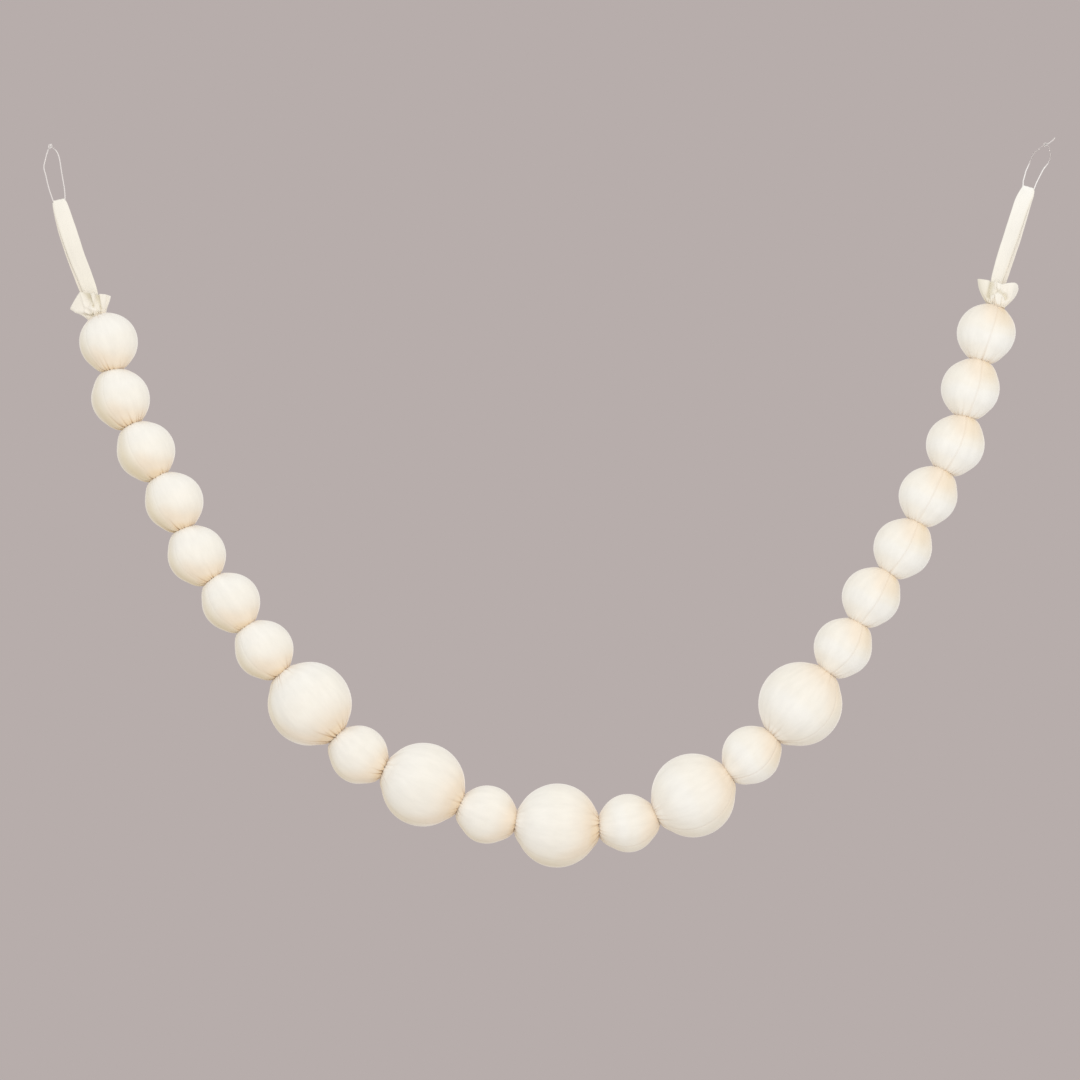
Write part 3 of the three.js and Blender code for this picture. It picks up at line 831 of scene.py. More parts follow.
def ball_piece(number):
    """A ball, with all that the velvet needs to know about it."""
    ball = laid_out(number)
    chance = np.random.default_rng(BALL_SEED + number)
    at_first = creases(chance, ball, ball.run, ball.first)
    at_last = creases(chance, ball, ball.run_back, ball.last)
    points = ball_points(number, ball, shallow_at_neck(ball, at_first + at_last))

    off_side = rising(ball.seam, OFF_SIDE["from"], OFF_SIDE["over"])
    far_round = rising(ball.seam, FAR_ROUND["from"], FAR_ROUND["over"])
    outside = outside_of_seam(ball, far_round)
    # Painted warm shade near both necks.
    fade = NECK_SHADE_REACH * ball.radius
    painted_neck_shade = NECK_SHADE_AT_FIRST * ball.first * hump(ball.run, fade)
    painted_neck_shade = painted_neck_shade + NECK_SHADE_AT_LAST * ball.last * hump(ball.run_back, fade)
    full = np.ones(points.shape[:2])
    # The facts: the pile's painted sheen, painted shade in the creases, painted warm shade near the necks
    # and painted shade past the seam.
    return piece_from(f"velvet_ball_{number:02d}", [(points, "cap")], {
        "painted_pile_sheen": painted_pile_sheen_of(ball, outside, off_side) * full,
        "painted_shade": shade_of(ball, at_first, at_last, far_round),
        "painted_neck_shade": painted_neck_shade * full,
        "outside": painted_outer_shade(ball, outside, far_round, off_side),
        "cloth": np.stack([ball.around * ball.radius * full, ball.run * full, number * full], axis=-1),
    })


balls = [ball_piece(number) for number in range(1, BALL_COUNT + 1)]
for number, ball in enumerate(balls, 1):
    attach(ball, "root")
    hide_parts(f"ball_{number:02d}")
print("Balls:", len(balls), "with", sum(len(ball.data.polygons) for ball in balls), "faces")

# %% [markdown]
# ## The thread ties
#
# Between two balls the tube is wound with a few turns of cotton thread, drawn tight. The swollen cloth
# closes over it, so hardly any of it can be seen, but it holds the necks and is there when one looks
# into a crevice. A tie is one thread that climbs round the neck, so it is made as a tube along a
# flat spiral.

# %% Make the ties
TIE_TURNS = 3
END_TIE_TURNS = 2
TIE_STRAND = 0.26 * MM
TIE_RISE = 0.48 * MM
TIE_OFF_NECK = 0.55 * MM
TIE_STEPS = 40  # to a turn
TIE_SIDES = 8
WOBBLE = 0.012
WOBBLES = 9  # radians to a turn


def tie_piece(number):
    """The turns of thread round one neck."""
    at_end = number in (1, BALL_COUNT + 1)
    neck = END_NECK_RADIUS if at_end else NECK_RADIUS
    turns = END_TIE_TURNS if at_end else TIE_TURNS
    way = ways[number - 1]
    side = np.cross(way, DEPTH)
    turn = np.linspace(0, turns, TIE_STEPS * turns)[:, None]
    out = (neck + TIE_OFF_NECK) * (1 + WOBBLE * np.sin(WOBBLES * turn + number))
    ring = out * (np.cos(2 * math.pi * turn) * side + np.sin(2 * math.pi * turn) * DEPTH)
    line = necks[number - 1] + ring + way * (turn - turns / 2) * TIE_RISE
    return piece_from(f"thread_tie_{number:02d}", [(tube_grid(line, TIE_STRAND, TIE_SIDES), "cap")])


ties = [tie_piece(number) for number in range(1, BALL_COUNT + 2)]
for number, tie in enumerate(ties, 1):
    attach(tie, "root")
    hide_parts(f"tie_{number:02d}")
print("Ties:", len(ties))

# %% [markdown]
# ## The frills
#
# Past its last tie the tube opens again, crumpled by the gathering. Its cut edge makes crests and
# hollows. The frill is one sheet, so it is made as one surface: for each direction round the neck
# the table gives how far the edge reaches, how high it stands and how much the cloth swells on the
# way. Small creases then run up from the neck, as on the balls, and the sheet gets its thickness by
# moving a second surface inwards. The inside shows the plain back of the velvet.

# %% Tables of the frills
# around: degrees, 0 to the right and 90 to the front. out, up, belly: millimetres.
FRILLS = {
    "left": [
        (8, 14.5, 19.5, 2.5),
        (34, 13, 20.5, 1),
        (58, 10.5, 21, 0.5),
        (78, 6.5, 21, -1),
        (104, 12, 22, 1),
        (128, 10.5, 22, -1),
        (147, 18.5, 22.5, 0),
        (177, 27, 6, 0),
        (198, 14, 14, 0),
        (216, 16.5, 19, 1),
        (240, 6, 18, 0),
        (262, 15, 20.5, 1),
        (284, 5, 19, 0),
        (306, 15.5, 20.5, 1),
        (330, 6, 18.5, 0),
        (350, 14, 19.5, 1),
    ],
    "right": [
        (0, 22, 16.5, 6),
        (12, 21, 20.5, 5.5),
        (26, 18, 22.5, 4),
        (50, 8, 21.5, 2),
        (92, 9.5, 22.5, 3),
        (114, 5, 24, -1),
        (138, 12, 25, 1),
        (168, 20.5, 26.5, 3),
        (192, 9, 22, 2),
        (212, 15, 23, 1),
        (234, 6, 21.5, 0),
        (256, 15, 22.5, 1),
        (278, 5, 21, 0),
        (300, 16, 22, 1),
        (322, 6.5, 19, 0),
        (344, 17, 15.5, 3),
    ],
}
for side, rows in FRILLS.items():
    print("Frill,", side, "end: its edge reaches out", max(out for _, out, _, _ in rows), "mm")

# %% Crumpled folds of the frills
# height: millimetres outwards, or inwards where it is negative. width: millimetres.
# line: where the fold runs, as (degrees round, share of the way from the neck to the edge).
CRUMPLES = {
    "left": [
        (-3.0, 1.5, [(134, 1.0), (115, 0.79), (95, 0.62)]),
        (1.5, 1.7, [(140, 0.66), (112, 0.52), (86, 0.40)]),
        (-2.6, 1.6, [(77, 1.0), (63, 0.67), (47, 0.33)]),
        (1.6, 1.4, [(170, 0.80), (162, 0.58), (134, 0.37)]),
        (-2.2, 1.2, [(161, 0.42), (136, 0.28), (112, 0.20)]),
        (-2.4, 1.2, [(110, 0.12), (108, 0.24)]),
        (-2.2, 1.2, [(52, 0.03), (50, 0.16)]),
        (-0.8, 0.7, [(30, 1.0), (20, 0.5), (15, 0.2)]),
        (-0.7, 0.6, [(19, 1.0), (12, 0.5), (9, 0.2)]),
    ],
    "right": [
        (-3.6, 1.9, [(126, 1.0), (133, 0.69), (146, 0.33)]),
        (1.8, 1.2, [(110, 1.0), (114, 0.74), (122, 0.4)]),
        (-2.6, 1.5, [(121, 0.60), (104, 0.72), (72, 0.76), (46, 0.66), (38, 0.5)]),
        (2.6, 2.6, [(102, 0.58), (104, 0.42), (97, 0.20)]),
        (-1.5, 1.2, [(72, 0.12), (66, 0.50)]),
        (1.2, 2.4, [(28, 0.95), (28, 0.75), (20, 0.50)]),
    ],
}
print("Folds:", {side: len(folds) for side, folds in CRUMPLES.items()})

# %% Ways in which the two frills differ
# seed: of the chance that sets the pleats. Then the pile's painted sheen. pleats, front and the
# wing: how much painted shade the cloth gets in the pleats, at the front and on the wing that reaches
# outwards.
# rounded: 0 for a corner at each row of the table, 1 for none. tilt: how far the foot slants.
# lean: how far the foot leans out on the inner side.
FRILL_LOOKS = {
    "left": {
        "seed": 7, "painted_pile_sheen": 0.58, "pleats": 1, "front": 0.3, "wing_shade": 0,
        "rounded": 0, "tilt": 0, "lean": 0,
    },
    "right": {
        "seed": 8, "painted_pile_sheen": 0.5, "pleats": 0.2, "front": 0.04, "wing_shade": 0.45,
        "rounded": 1, "tilt": 1.8 * MM, "lean": 6 * MM,
    },
}
print("The frills differ in", len(FRILL_LOOKS["left"]), "ways")

# %% From the tables to a flaring surface
FRILL_SIDES = 360
FRILL_ROWS = 40
FRILL_RISE = 3 * MM
FOOT_HEIGHT = -1.5 * MM
FOOT_PUFF = 2.0 * MM
RISE_OUT = 0.5 * MM
BELLY_AT = 0.4  # of the way from the foot's rise to the edge
TINY = 1e-12  # so that nothing is divided by 0


def eased_round(rows, around, rounded):
    """The table's columns at each direction, with level ground at each row or a slope through it."""
    table = np.array(rows, float)
    turn = np.array([360, 0, 0, 0])
    table = np.vstack([table[-2:] - turn, table, table[:2] + turn])
    slopes = np.diff(table, axis=0) / np.diff(table[:, :1], axis=0)
    before, after = slopes[:-1], slopes[1:]
    level = np.where(before * after > 0, 2 * before * after / (before + after + TINY), 0)
    inner = table[1:-1]
    nearest = np.searchsorted(inner[:, 0], around, side="right")
    start, stop = inner[nearest - 1], inner[nearest]
    step = stop[:, :1] - start[:, :1]
    t = (around[:, None] - start[:, :1]) / step
    rising_by = t * (1 - t) ** 2 * step * level[nearest - 1] - t**2 * (1 - t) * step * level[nearest]
    return (between(start, stop, eased(t)) + rounded * rising_by)[:, 1:].T * MM


def frill_surface(side, around):
    """Rows from the foot of the frill to its edge, each along a smooth curve with four handles."""
    looks = FRILL_LOOKS[side]
    neck = end_necks[side]
    way = -ways[0] if side == "left" else ways[-1]
    level = np.cross(way, DEPTH)
    level *= np.sign(level[0])
    out, up, belly = eased_round(FRILLS[side], around, looks["rounded"])
    angle = np.radians(around)[:, None]
    ring = np.cos(angle) * level - np.sin(angle) * DEPTH
    flat = np.hstack([np.cos(angle), -np.sin(angle), 0 * angle])
    tilt = looks["tilt"] * np.clip(np.cos(angle), 0, 1)
    lean = looks["lean"] * np.clip(-np.cos(angle), 0, 1) ** 2
    foot = neck + way * (FOOT_HEIGHT + tilt) + ring * (END_NECK_RADIUS + FOOT_PUFF - tilt)
    rise = foot + way * FRILL_RISE + ring * (RISE_OUT + lean)
    edge = neck + flat * out[:, None] + np.outer(up, [0, 0, 1])
    swell = between(rise, edge, BELLY_AT) + flat * belly[:, None]
    t = np.linspace(0, 1, FRILL_ROWS)[:, None, None]
    return foot * (1 - t) ** 3 + 3 * rise * t * (1 - t) ** 2 + 3 * swell * t**2 * (1 - t) + edge * t**3


print("A frill's surface:", frill_surface("left", np.arange(0.0, 360.0)).shape, "rows, columns and axes")

# %% Pleats of the gathering
PLEATS = 30
PLEAT_AT_NECK = 3.8 * MM
PLEAT_AT_EDGE = 0.25 * MM
DEEPER_BEHIND = 6.0
REACH_UP = (0.26, 0.66)  # of the height, at the front and at the back
SWAYS = (2, 3, 5)  # waves round the neck by which the pleats stray from their even places
SWAY_SIZES = (0.3, 0.8)
SWAY_STARTS = (0, 6)
SWAY_GROWS = 1.5
LESS_DEEP = 0.25
DEEP_WAVES = 7


def pleats(chance, around, height):
    """The gathers that the tie draws the tube into: close and deep at the neck, open at the edge."""
    sway = 0
    for waves in SWAYS:
        sway = sway + chance.uniform(*SWAY_SIZES) * np.sin(waves * around + chance.uniform(*SWAY_STARTS))
    wave = (1 - np.cos(PLEATS * around + sway * (1 + SWAY_GROWS * height))) / 2
    deep = 1 - LESS_DEEP * (1 - np.sin(DEEP_WAVES * around + sway))
    behind = np.clip(-np.sin(around), 0, 1)
    at_edge = PLEAT_AT_EDGE * (1 + DEEPER_BEHIND * behind)
    return wave * deep * between(at_edge, PLEAT_AT_NECK, hump(height, between(*REACH_UP, behind)))


print("A pleat is drawn in every", 360 // PLEATS, "degrees")

# %% Folds along the lines of the table
MEAN_RADIUS = 13 * MM
FRILL_LENGTH = 21.5 * MM


def crumple(side, around, height):
    """How far each point stands out along the folds of the table."""
    total = np.zeros((len(height), around.size))
    for rise, width, line in CRUMPLES[side]:
        nearest = np.inf
        for (from_angle, from_share), (to_angle, to_share) in zip(line, line[1:]):
            step_round = math.radians(to_angle - from_angle) * MEAN_RADIUS
            step_up = (to_share - from_share) * FRILL_LENGTH
            x = wrapped(around - math.radians(from_angle)) * MEAN_RADIUS
            y = (height - from_share) * FRILL_LENGTH
            part = np.clip((x * step_round + y * step_up) / (step_round**2 + step_up**2), 0, 1)
            nearest = np.minimum(nearest, np.hypot(x - part * step_round, y - part * step_up))
        total += rise * MM * hump(nearest, width * MM)
    return total


print("A frill is about", round(2 * math.pi * MEAN_RADIUS / MM), "mm round")

# %% The way out of the cloth
SMOOTHED_OVER = 9


def outwards_from(surface, neck):
    """The direction out of the frill at each point. It turns smoothly, so that no fold crosses itself."""
    turns = range(-SMOOTHED_OVER, SMOOTHED_OVER + 1)
    smooth = sum(np.roll(surface, turn, 1) for turn in turns) / len(turns)
    rising_way = np.gradient(smooth, axis=0)
    round_it = np.roll(smooth, -1, 1) - np.roll(smooth, 1, 1)
    normal = unit(np.cross(round_it, rising_way))
    outward = (normal * (surface - neck)).sum(-1).mean()
    return normal if outward > 0 else -normal


print("The way out is evened over", (2 * SMOOTHED_OVER + 1) * 360 // FRILL_SIDES, "degrees")

# %% Make the frills
FRILL_THICKNESS = 0.9 * MM
FOLDS_START_OVER = 0.08  # of the height
FOOT_CLOSED = 0.12
FOOT_GATHERED = 0.3
RIM_ROUND = 0.3 * MM
FRILL_UNEVEN = 0.5 * MM
FRILL_UNEVEN_EVERY = 9 * MM
# Painted shade: at the front and on the wing, in the hollows of the pleats and folds, in the pleats near the
# foot, and painted warm shade at the foot.
FRONT_SHADE = {"at": 95, "width": 45}  # degrees
WING_SHADE_SPAN = {"at": 165, "width": 28}
PLEAT_HOLLOW_SHADE = 0.35
FOLD_HOLLOW_SHADE = 0.24 / MM
PLEAT_SHADE_ENDS = 1.2  # of the height
FRILL_PLEAT_SHADE = 0.15
FRILL_FOOT_SHADE = {"by": 0.3, "reach": 0.2}


def frill_piece(side):
    """The frill of one end, and how long its cloth is from foot to edge."""
    neck = end_necks[side]
    looks = FRILL_LOOKS[side]
    chance = np.random.default_rng(looks["seed"])
    degrees = np.linspace(0, 360, FRILL_SIDES, endpoint=False)
    around = np.radians(degrees)[None]
    height = np.linspace(0, 1, FRILL_ROWS)[:, None]
    surface = frill_surface(side, degrees)
    outward = outwards_from(surface, neck)
    folds = crumple(side, around, height) * np.clip(height / FOLDS_START_OVER, 0, 1)
    closed = between(FOOT_GATHERED, 1, np.clip(height / FOOT_CLOSED, 0, 1))
    gathered = pleats(chance, around, height) * closed
    bumpy = FRILL_UNEVEN * unevenness(surface, FRILL_UNEVEN_EVERY).reshape(folds.shape) * height
    outer = surface + outward * (folds + bumpy - gathered)[..., None]
    inner = outer - outward * FRILL_THICKNESS
    rim = (outer[-1] + inner[-1]) / 2 + unit(outer[-1] - outer[-2]) * RIM_ROUND
    grid = np.concatenate([outer, rim[None], inner[::-1]])

    rows = np.concatenate([height, [[1]], height[::-1]])
    full = np.ones((len(rows), FRILL_SIDES))
    # Painted shade in the pleats near the foot, in the hollows of the folds, at the front and on the wing.
    low = looks["pleats"] * np.clip(gathered / PLEAT_AT_NECK, 0, 1)
    low = low * np.clip(PLEAT_SHADE_ENDS - height, 0, 1)
    front = looks["front"] * hump(degrees - FRONT_SHADE["at"], FRONT_SHADE["width"])
    wing_shade = looks["wing_shade"] * hump(degrees - WING_SHADE_SPAN["at"], WING_SHADE_SPAN["width"])
    valley_shade = np.clip(PLEAT_HOLLOW_SHADE * low - FOLD_HOLLOW_SHADE * folds + front + wing_shade, 0, 1)
    # The outside, the rim and the plain inside.
    low, valley_shade = (np.concatenate([facts, facts[-1:], 0 * facts]) for facts in (low, valley_shade))
    frill = piece_from("velvet_frill_" + side, [(grid, "loop")], {
        "painted_pile_sheen": looks["painted_pile_sheen"] * full,
        "painted_shade": FRILL_PLEAT_SHADE * low,
        "painted_neck_shade": FRILL_FOOT_SHADE["by"] * np.exp(-rows / FRILL_FOOT_SHADE["reach"]) * full,
        "outside": 0 * full,
        "painted_hollow_shade": valley_shade,
        "cloth": np.stack([around * radii[0] * full, rows * FRILL_LENGTH * full, full], axis=-1),
    })
    return frill, float(np.linalg.norm(np.diff(outer, axis=0), axis=-1).sum(axis=0).mean())


def area_of(piece):
    """The area of all the faces of a piece, the inside of the cloth too."""
    return sum(face.area for face in piece.data.polygons)


frills = []
for side in ("left", "right"):
    frill, rise = frill_piece(side)
    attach(frill, "root")
    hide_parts("frill_" + side)
    frills.append(frill)
    area = area_of(frill) / 2
    print("Frill,", side, "end:", round(rise / MM, 1), "mm long,", round(area / MM**2), "square mm")

# %% [markdown]
# ## The straps
#
# A strap is a narrow band of the same velvet, sewn into a flat tape. It goes up on the front, over
# the nylon thread and down on the back, and both its feet are caught in the neck. The section of the
# tape is a flat oblong with round edges. It is carried up the front, round the fold and down again,
# so the strap is one closed surface with no join. One long edge of the front run is rolled under.

# %% Sizes of the straps
TAPE_THICKNESS = 1.3 * MM
TAPE_GAP = 0.2 * MM  # between the two runs
CHANNEL_RADIUS = 0.9 * MM  # of the fold that the thread runs through
PARTS_OVER = 6 * MM  # how far below the fold the two runs come together
STRAP_STEPS = 90
FOLD_STEPS = 14
TAPE_SIDES = 40
# rolled: how much of the width is rolled under. turned: the side of the rolled edge, -1 for left.
# edge, fold: how much painted shade the rolled edge gets, where it turns away, and how much paler the fold.
STRAP_LOOKS = {
    "left": {"rolled": 0.45 * MM, "turned": -1, "edge": 0.1, "fold": 0.1},
    "right": {"rolled": 1.4 * MM, "turned": 1, "edge": 0.3, "fold": 0.45},
}
print("Both runs of a strap together are", round((2 * TAPE_THICKNESS + TAPE_GAP) / MM, 1), "mm thick")

# %% The section of the tape
SQUARE_EDGE = 0.6  # powers: 1 is round, and less is squarer
SQUARE_FACE = 0.85
CROWN = 1.5 * MM
RIPPLE = 0.16 * MM
RIPPLE_EVERY = 4.5 * MM
RIPPLE_SWAY = {"by": 4, "waves": 3, "drift": 2}  # how the ripples wander on the way


def powered(wave, power):
    """A wave made squarer, or more pointed with a power over 1."""
    return np.sign(wave) * np.abs(wave) ** power


def tape_section(width, part):
    """Points round a flat oblong with round edges, as (across, through), crowned and a little rippled.

    part is 0 at the foot of the front run, 1 at the fold and 2 at the foot of the back run.
    """
    angle = np.linspace(0, 2 * math.pi, TAPE_SIDES, endpoint=False)
    across = powered(np.cos(angle), SQUARE_EDGE) * width / 2
    through = powered(np.sin(angle), SQUARE_FACE) * TAPE_THICKNESS / 2
    crowned = CROWN * (1 - (2 * across / width) ** 2) * math.sin(math.pi * part) ** 2
    sway = RIPPLE_SWAY["by"] * math.sin(RIPPLE_SWAY["waves"] * part) + RIPPLE_SWAY["drift"] * part
    ripple = RIPPLE * np.sin(2 * math.pi * across / RIPPLE_EVERY + sway)
    return across, through + crowned + ripple


# %% Carry the section up, over the thread and down
ROLL_REACH = 1.6  # over 1, the roll keeps its full width along the middle of the run
STRAP_UNEVEN = 0.25 * MM
STRAP_UNEVEN_EVERY = 14 * MM


def strap_grid(side):
    """The sections of a strap, one after another, and the length of one run."""
    looks = STRAP_LOOKS[side]
    line = smooth_line(strap_lines[side], STRAP_STEPS)
    rise = unit(np.gradient(line, axis=0))
    level = np.stack([rise[:, 2], 0 * rise[:, 0], -rise[:, 0]], axis=-1)
    where = np.linspace(0, len(STRAPS[side]) - 1, STRAP_STEPS)
    rows = np.array(STRAPS[side], float)
    width, shift = (np.interp(where, np.arange(len(rows)), rows[:, k]) * MM for k in (2, 3))
    run = np.concatenate([[0], np.cumsum(np.linalg.norm(np.diff(line, axis=0), axis=1))])
    length = run[-1]
    channel = CHANNEL_RADIUS + TAPE_THICKNESS
    parted = eased(np.clip(1 - (length - run - channel) / PARTS_OVER, 0, 1))
    off_middle = between(TAPE_GAP / 2, CHANNEL_RADIUS, parted) + TAPE_THICKNESS / 2
    share = run / length
    rolled = looks["rolled"] * np.clip(ROLL_REACH * np.sin(math.pi * share), 0, 1)
    tucked = -rolled / 2 * looks["turned"]
    sections = []

    def add(centre, level, outward, wide, slip, part):
        across, through = tape_section(wide, part)
        sections.append(centre + np.outer(across + slip, level) + np.outer(through, outward))

    runs = np.flatnonzero(length - run > channel)
    for i in runs:
        add(line[i] - DEPTH * off_middle[i], level[i], -DEPTH, width[i] - rolled[i], tucked[i], share[i])
    fold = line[-1] - rise[-1] * channel
    for turn in np.linspace(0, math.pi, FOLD_STEPS):
        outward = -DEPTH * math.cos(turn) + rise[-1] * math.sin(turn)
        centre = fold + outward * (CHANNEL_RADIUS + TAPE_THICKNESS / 2)
        add(centre, level[-1], outward, width[-1], 0, 1)
    for i in runs[::-1]:
        add(line[i] + DEPTH * off_middle[i], level[i], DEPTH, width[i], shift[i], 2 - share[i])

    grid = np.array(sections)
    bumpy = STRAP_UNEVEN * unevenness(grid, STRAP_UNEVEN_EVERY).reshape(grid.shape[:2])
    spine = grid.mean(axis=1, keepdims=True)
    return grid + unit(grid - spine) * bumpy[..., None], length


for side in STRAPS:
    print("Strap,", side, "end:", len(strap_grid(side)[0]), "sections")

# %% Make the straps
# The pile's painted sheen on the straps; painted shade on the back run, which lies behind the front run; a
# tone that deepens towards the feet; and how fast the painted shade of the rolled edge falls off.
STRAP_PILE_SHEEN = 0.5
BACK_RUN_SHADE = 0.12
FOOT_TONE = {"by": 0.25, "power": 0.7}
EDGE_POWER = 3
CLOTH_LENGTH = 250 * MM  # of the cloth that the brushed patches lie on, along the tape
CLOTH_ROUND = 32 * MM  # and round it
STRAP_CLOTH = 3  # like a ball's number, it sets which patches the straps get


def strap_piece(side):
    """The strap of one end, and the length of its tape."""
    looks = STRAP_LOOKS[side]
    grid, length = strap_grid(side)
    full = np.ones(grid.shape[:2])
    down = np.linspace(-1, 1, len(grid))[:, None]
    from_fold = np.abs(down)
    behind = down > 0
    edge = np.clip(np.cos(np.linspace(0, 2 * math.pi, TAPE_SIDES)) * looks["turned"], 0, 1)
    foot_tone = FOOT_TONE["by"] * from_fold ** FOOT_TONE["power"]
    along_tape = np.linspace(0, CLOTH_LENGTH, len(grid))[:, None]
    round_it = np.linspace(0, CLOTH_ROUND, TAPE_SIDES)
    return piece_from("velvet_strap_" + side, [(grid, "cap")], {
        "painted_pile_sheen": STRAP_PILE_SHEEN - looks["fold"] * (1 - from_fold) * full,
        "painted_shade": BACK_RUN_SHADE * behind * full,
        "painted_neck_shade": 0 * full,
        "outside": foot_tone + looks["edge"] * edge**EDGE_POWER * ~behind,
        "cloth": np.stack([round_it * full, along_tape * full, STRAP_CLOTH * full], axis=-1),
    }), 2 * length


straps = []
for side in ("left", "right"):
    strap, tape = strap_piece(side)
    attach(strap, "root")
    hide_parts("strap_" + side)
    straps.append(strap)
    print("Strap,", side, "end:", round(tape / MM), "mm of tape")

# %% [markdown]
# ## Velvet
#
# Velvet is a short upright pile on a woven ground. It looks pale where the pile leans towards the
# light and deeper where it leans away, and its edges shine softly. Here how pale or deep the pile
# looks under the front lamp is a fact kept on the points, painted into the colour as painted sheen,
# so it stays put when one walks round the garland. The material mixes the layers one over the other:
# the pile's painted sheen, painted shade past the seam, painted warm shade near the necks and painted
# shade in the hollows of the frills and in the creases. The soft edge comes from the shader's sheen
# and from painted sheen at the sides, and the pile itself from a fine bump.
#
# Materials are made of nodes. A small class adds them and joins them up, so that each material below
# reads as a list of what it is made of.

# %% Helper for materials
class Nodes:
    """The nodes of a material or of the world, with short ways to add some and to join them."""

    def __init__(self, owner):
        owner.use_nodes = True
        self.owner = owner
        self.tree = owner.node_tree

    def fill(self, made, inputs):
        """Give each input of a node another node's output, or a fixed value."""
        for socket, value in inputs.items():
            if isinstance(value, bpy.types.NodeSocket):
                self.tree.links.new(value, made.inputs[socket])
            else:
                made.inputs[socket].default_value = value

    def node(self, kind, inputs, **settings):
        """A new node of a kind, with its settings and its inputs."""
        made = self.tree.nodes.new("ShaderNode" + kind)
        for key, value in settings.items():
            setattr(made, key, value)
        self.fill(made, inputs)
        return made

    def shader(self, inputs):
        """Fill in the shader that a new material starts with."""
        self.fill(self.tree.nodes["Principled BSDF"], inputs)
        print(self.owner.name, "is made of", len(self.tree.nodes), "nodes")

    def fact(self, name, wanted="Fac"):
        """A fact kept on the points of the mesh."""
        return self.node("Attribute", {}, attribute_name=name).outputs[wanted]

    def place(self):
        """The place of a point on its piece."""
        return self.node("TexCoord", {}).outputs["Object"]

    def noise(self, place, scale, detail, roughness=0.5):
        """A cloudy pattern between 0 and 1. The scale is the number of clouds to a metre."""
        inputs = {"Vector": place, "Scale": scale, "Detail": detail, "Roughness": roughness}
        return self.node("TexNoise", inputs).outputs["Fac"]

    def colours(self, value, steps, interpolation="LINEAR"):
        """Colours by a value. steps gives the first and the last (value, colour), then any between."""
        ramp = self.node("ValToRGB", {"Fac": value})
        ramp.color_ramp.interpolation = interpolation
        ends = ramp.color_ramp.elements
        for element, (position, colour) in zip(ends, steps[:2]):
            element.position = position
            element.color = colour
        for position, colour in steps[2:]:
            ends.new(position).color = colour
        return ramp.outputs["Color"]

    def mixed(self, first, second, amount, blend="MIX"):
        """The second colour laid over the first by an amount."""
        inputs = {0: amount, 6: first, 7: second}
        return self.node("Mix", inputs, data_type="RGBA", blend_type=blend).outputs[2]

    def part_of(self, value, share):
        """A share of a value, as an amount to mix by."""
        return self.node("Math", {0: value, 1: share}, operation="MULTIPLY", use_clamp=True).outputs[0]

    def spread(self, value, low, high, start=0, stop=1):
        """A value that runs from start to stop, spread from low to high."""
        inputs = {"Value": value, "From Min": start, "From Max": stop, "To Min": low, "To Max": high}
        return self.node("MapRange", inputs).outputs["Result"]

    def bump(self, height, strength, distance, inputs=None):
        """A fine relief that changes only how the light falls."""
        settings = {"Height": height, "Strength": strength, "Distance": distance, **(inputs or {})}
        return self.node("Bump", settings).outputs["Normal"]


# %% The velvet's colours
# The first five colours are the pile's painted sheen, from whitest to deepest. The next four are painted
# shade: past the seam, near the necks, in the creases and in the frills' hollows.
WHITEST = (0.925, 0.915, 0.880, 1)
FIRST_END = (0.910, 0.892, 0.845, 1)
WAIST = (0.900, 0.862, 0.785, 1)
LAST_END = (0.884, 0.772, 0.630, 1)
DEEPEST = (0.868, 0.705, 0.500, 1)
PAST_SEAM_SHADE = (0.775, 0.672, 0.480, 1)
NECK_SHADE_COLOUR = (0.870, 0.700, 0.510, 1)
PAINTED_CREASE_SHADE = (0.500, 0.300, 0.140, 1)
HOLLOW_SHADE_COLOUR = (0.690, 0.635, 0.490, 1)
# Painted shade, laid over the pile's painted sheen.
OVERLAYS = (  # the fact that each goes by, its colour, and how much of it shows at most
    ("outside", PAST_SEAM_SHADE, 1),
    ("painted_neck_shade", NECK_SHADE_COLOUR, 0.55),
    ("painted_hollow_shade", HOLLOW_SHADE_COLOUR, 0.85),
    ("painted_shade", PAINTED_CREASE_SHADE, 0.9),
)

velvet = Nodes(bpy.data.materials.new("cream_velvet"))
# The painted sheen of the pile, from whitest to deepest.
painted_sheen_steps = [(0.05, WHITEST), (1.0, DEEPEST), (0.25, FIRST_END), (0.52, WAIST), (0.82, LAST_END)]
colour = velvet.colours(velvet.fact("painted_pile_sheen"), painted_sheen_steps, "EASE")
for fact, over, share in OVERLAYS:
    colour = velvet.mixed(colour, over, velvet.part_of(velvet.fact(fact), share))
print("The velvet's colour has", len(painted_sheen_steps), "tones of pile and", len(OVERLAYS), "layers over them")

# %% Brushed patches, pile and sheen
ALONG_CLOTH = (1, 0.35, 1)  # patches are nearly three times as long as wide
PATCHES_TO_METRE = 110
PATCH_TONES = (0.955, 1.02)
PILE_TO_METRE = 1500

along_cloth = velvet.node("Mapping", {"Vector": velvet.fact("cloth", "Vector"), "Scale": ALONG_CLOTH})
brushed = velvet.noise(along_cloth.outputs["Vector"], PATCHES_TO_METRE, detail=4, roughness=0.55)
patches = velvet.spread(brushed, *PATCH_TONES, start=0.3, stop=0.7)
crushed = velvet.bump(brushed, strength=0.15, distance=0.6 * MM)
pile = velvet.noise(velvet.place(), PILE_TO_METRE, detail=3)
velvet.shader({
    "Base Color": velvet.mixed(colour, patches, 1.0, "MULTIPLY"),
    "Normal": velvet.bump(pile, strength=0.35, distance=0.12 * MM, inputs={"Normal": crushed}),
    "Roughness": 0.9,
    "Specular IOR Level": 0.2,
    "Sheen Weight": 1.0,
    "Sheen Roughness": 0.3,
    "Sheen Tint": (1.0, 0.96, 0.95, 1),
})

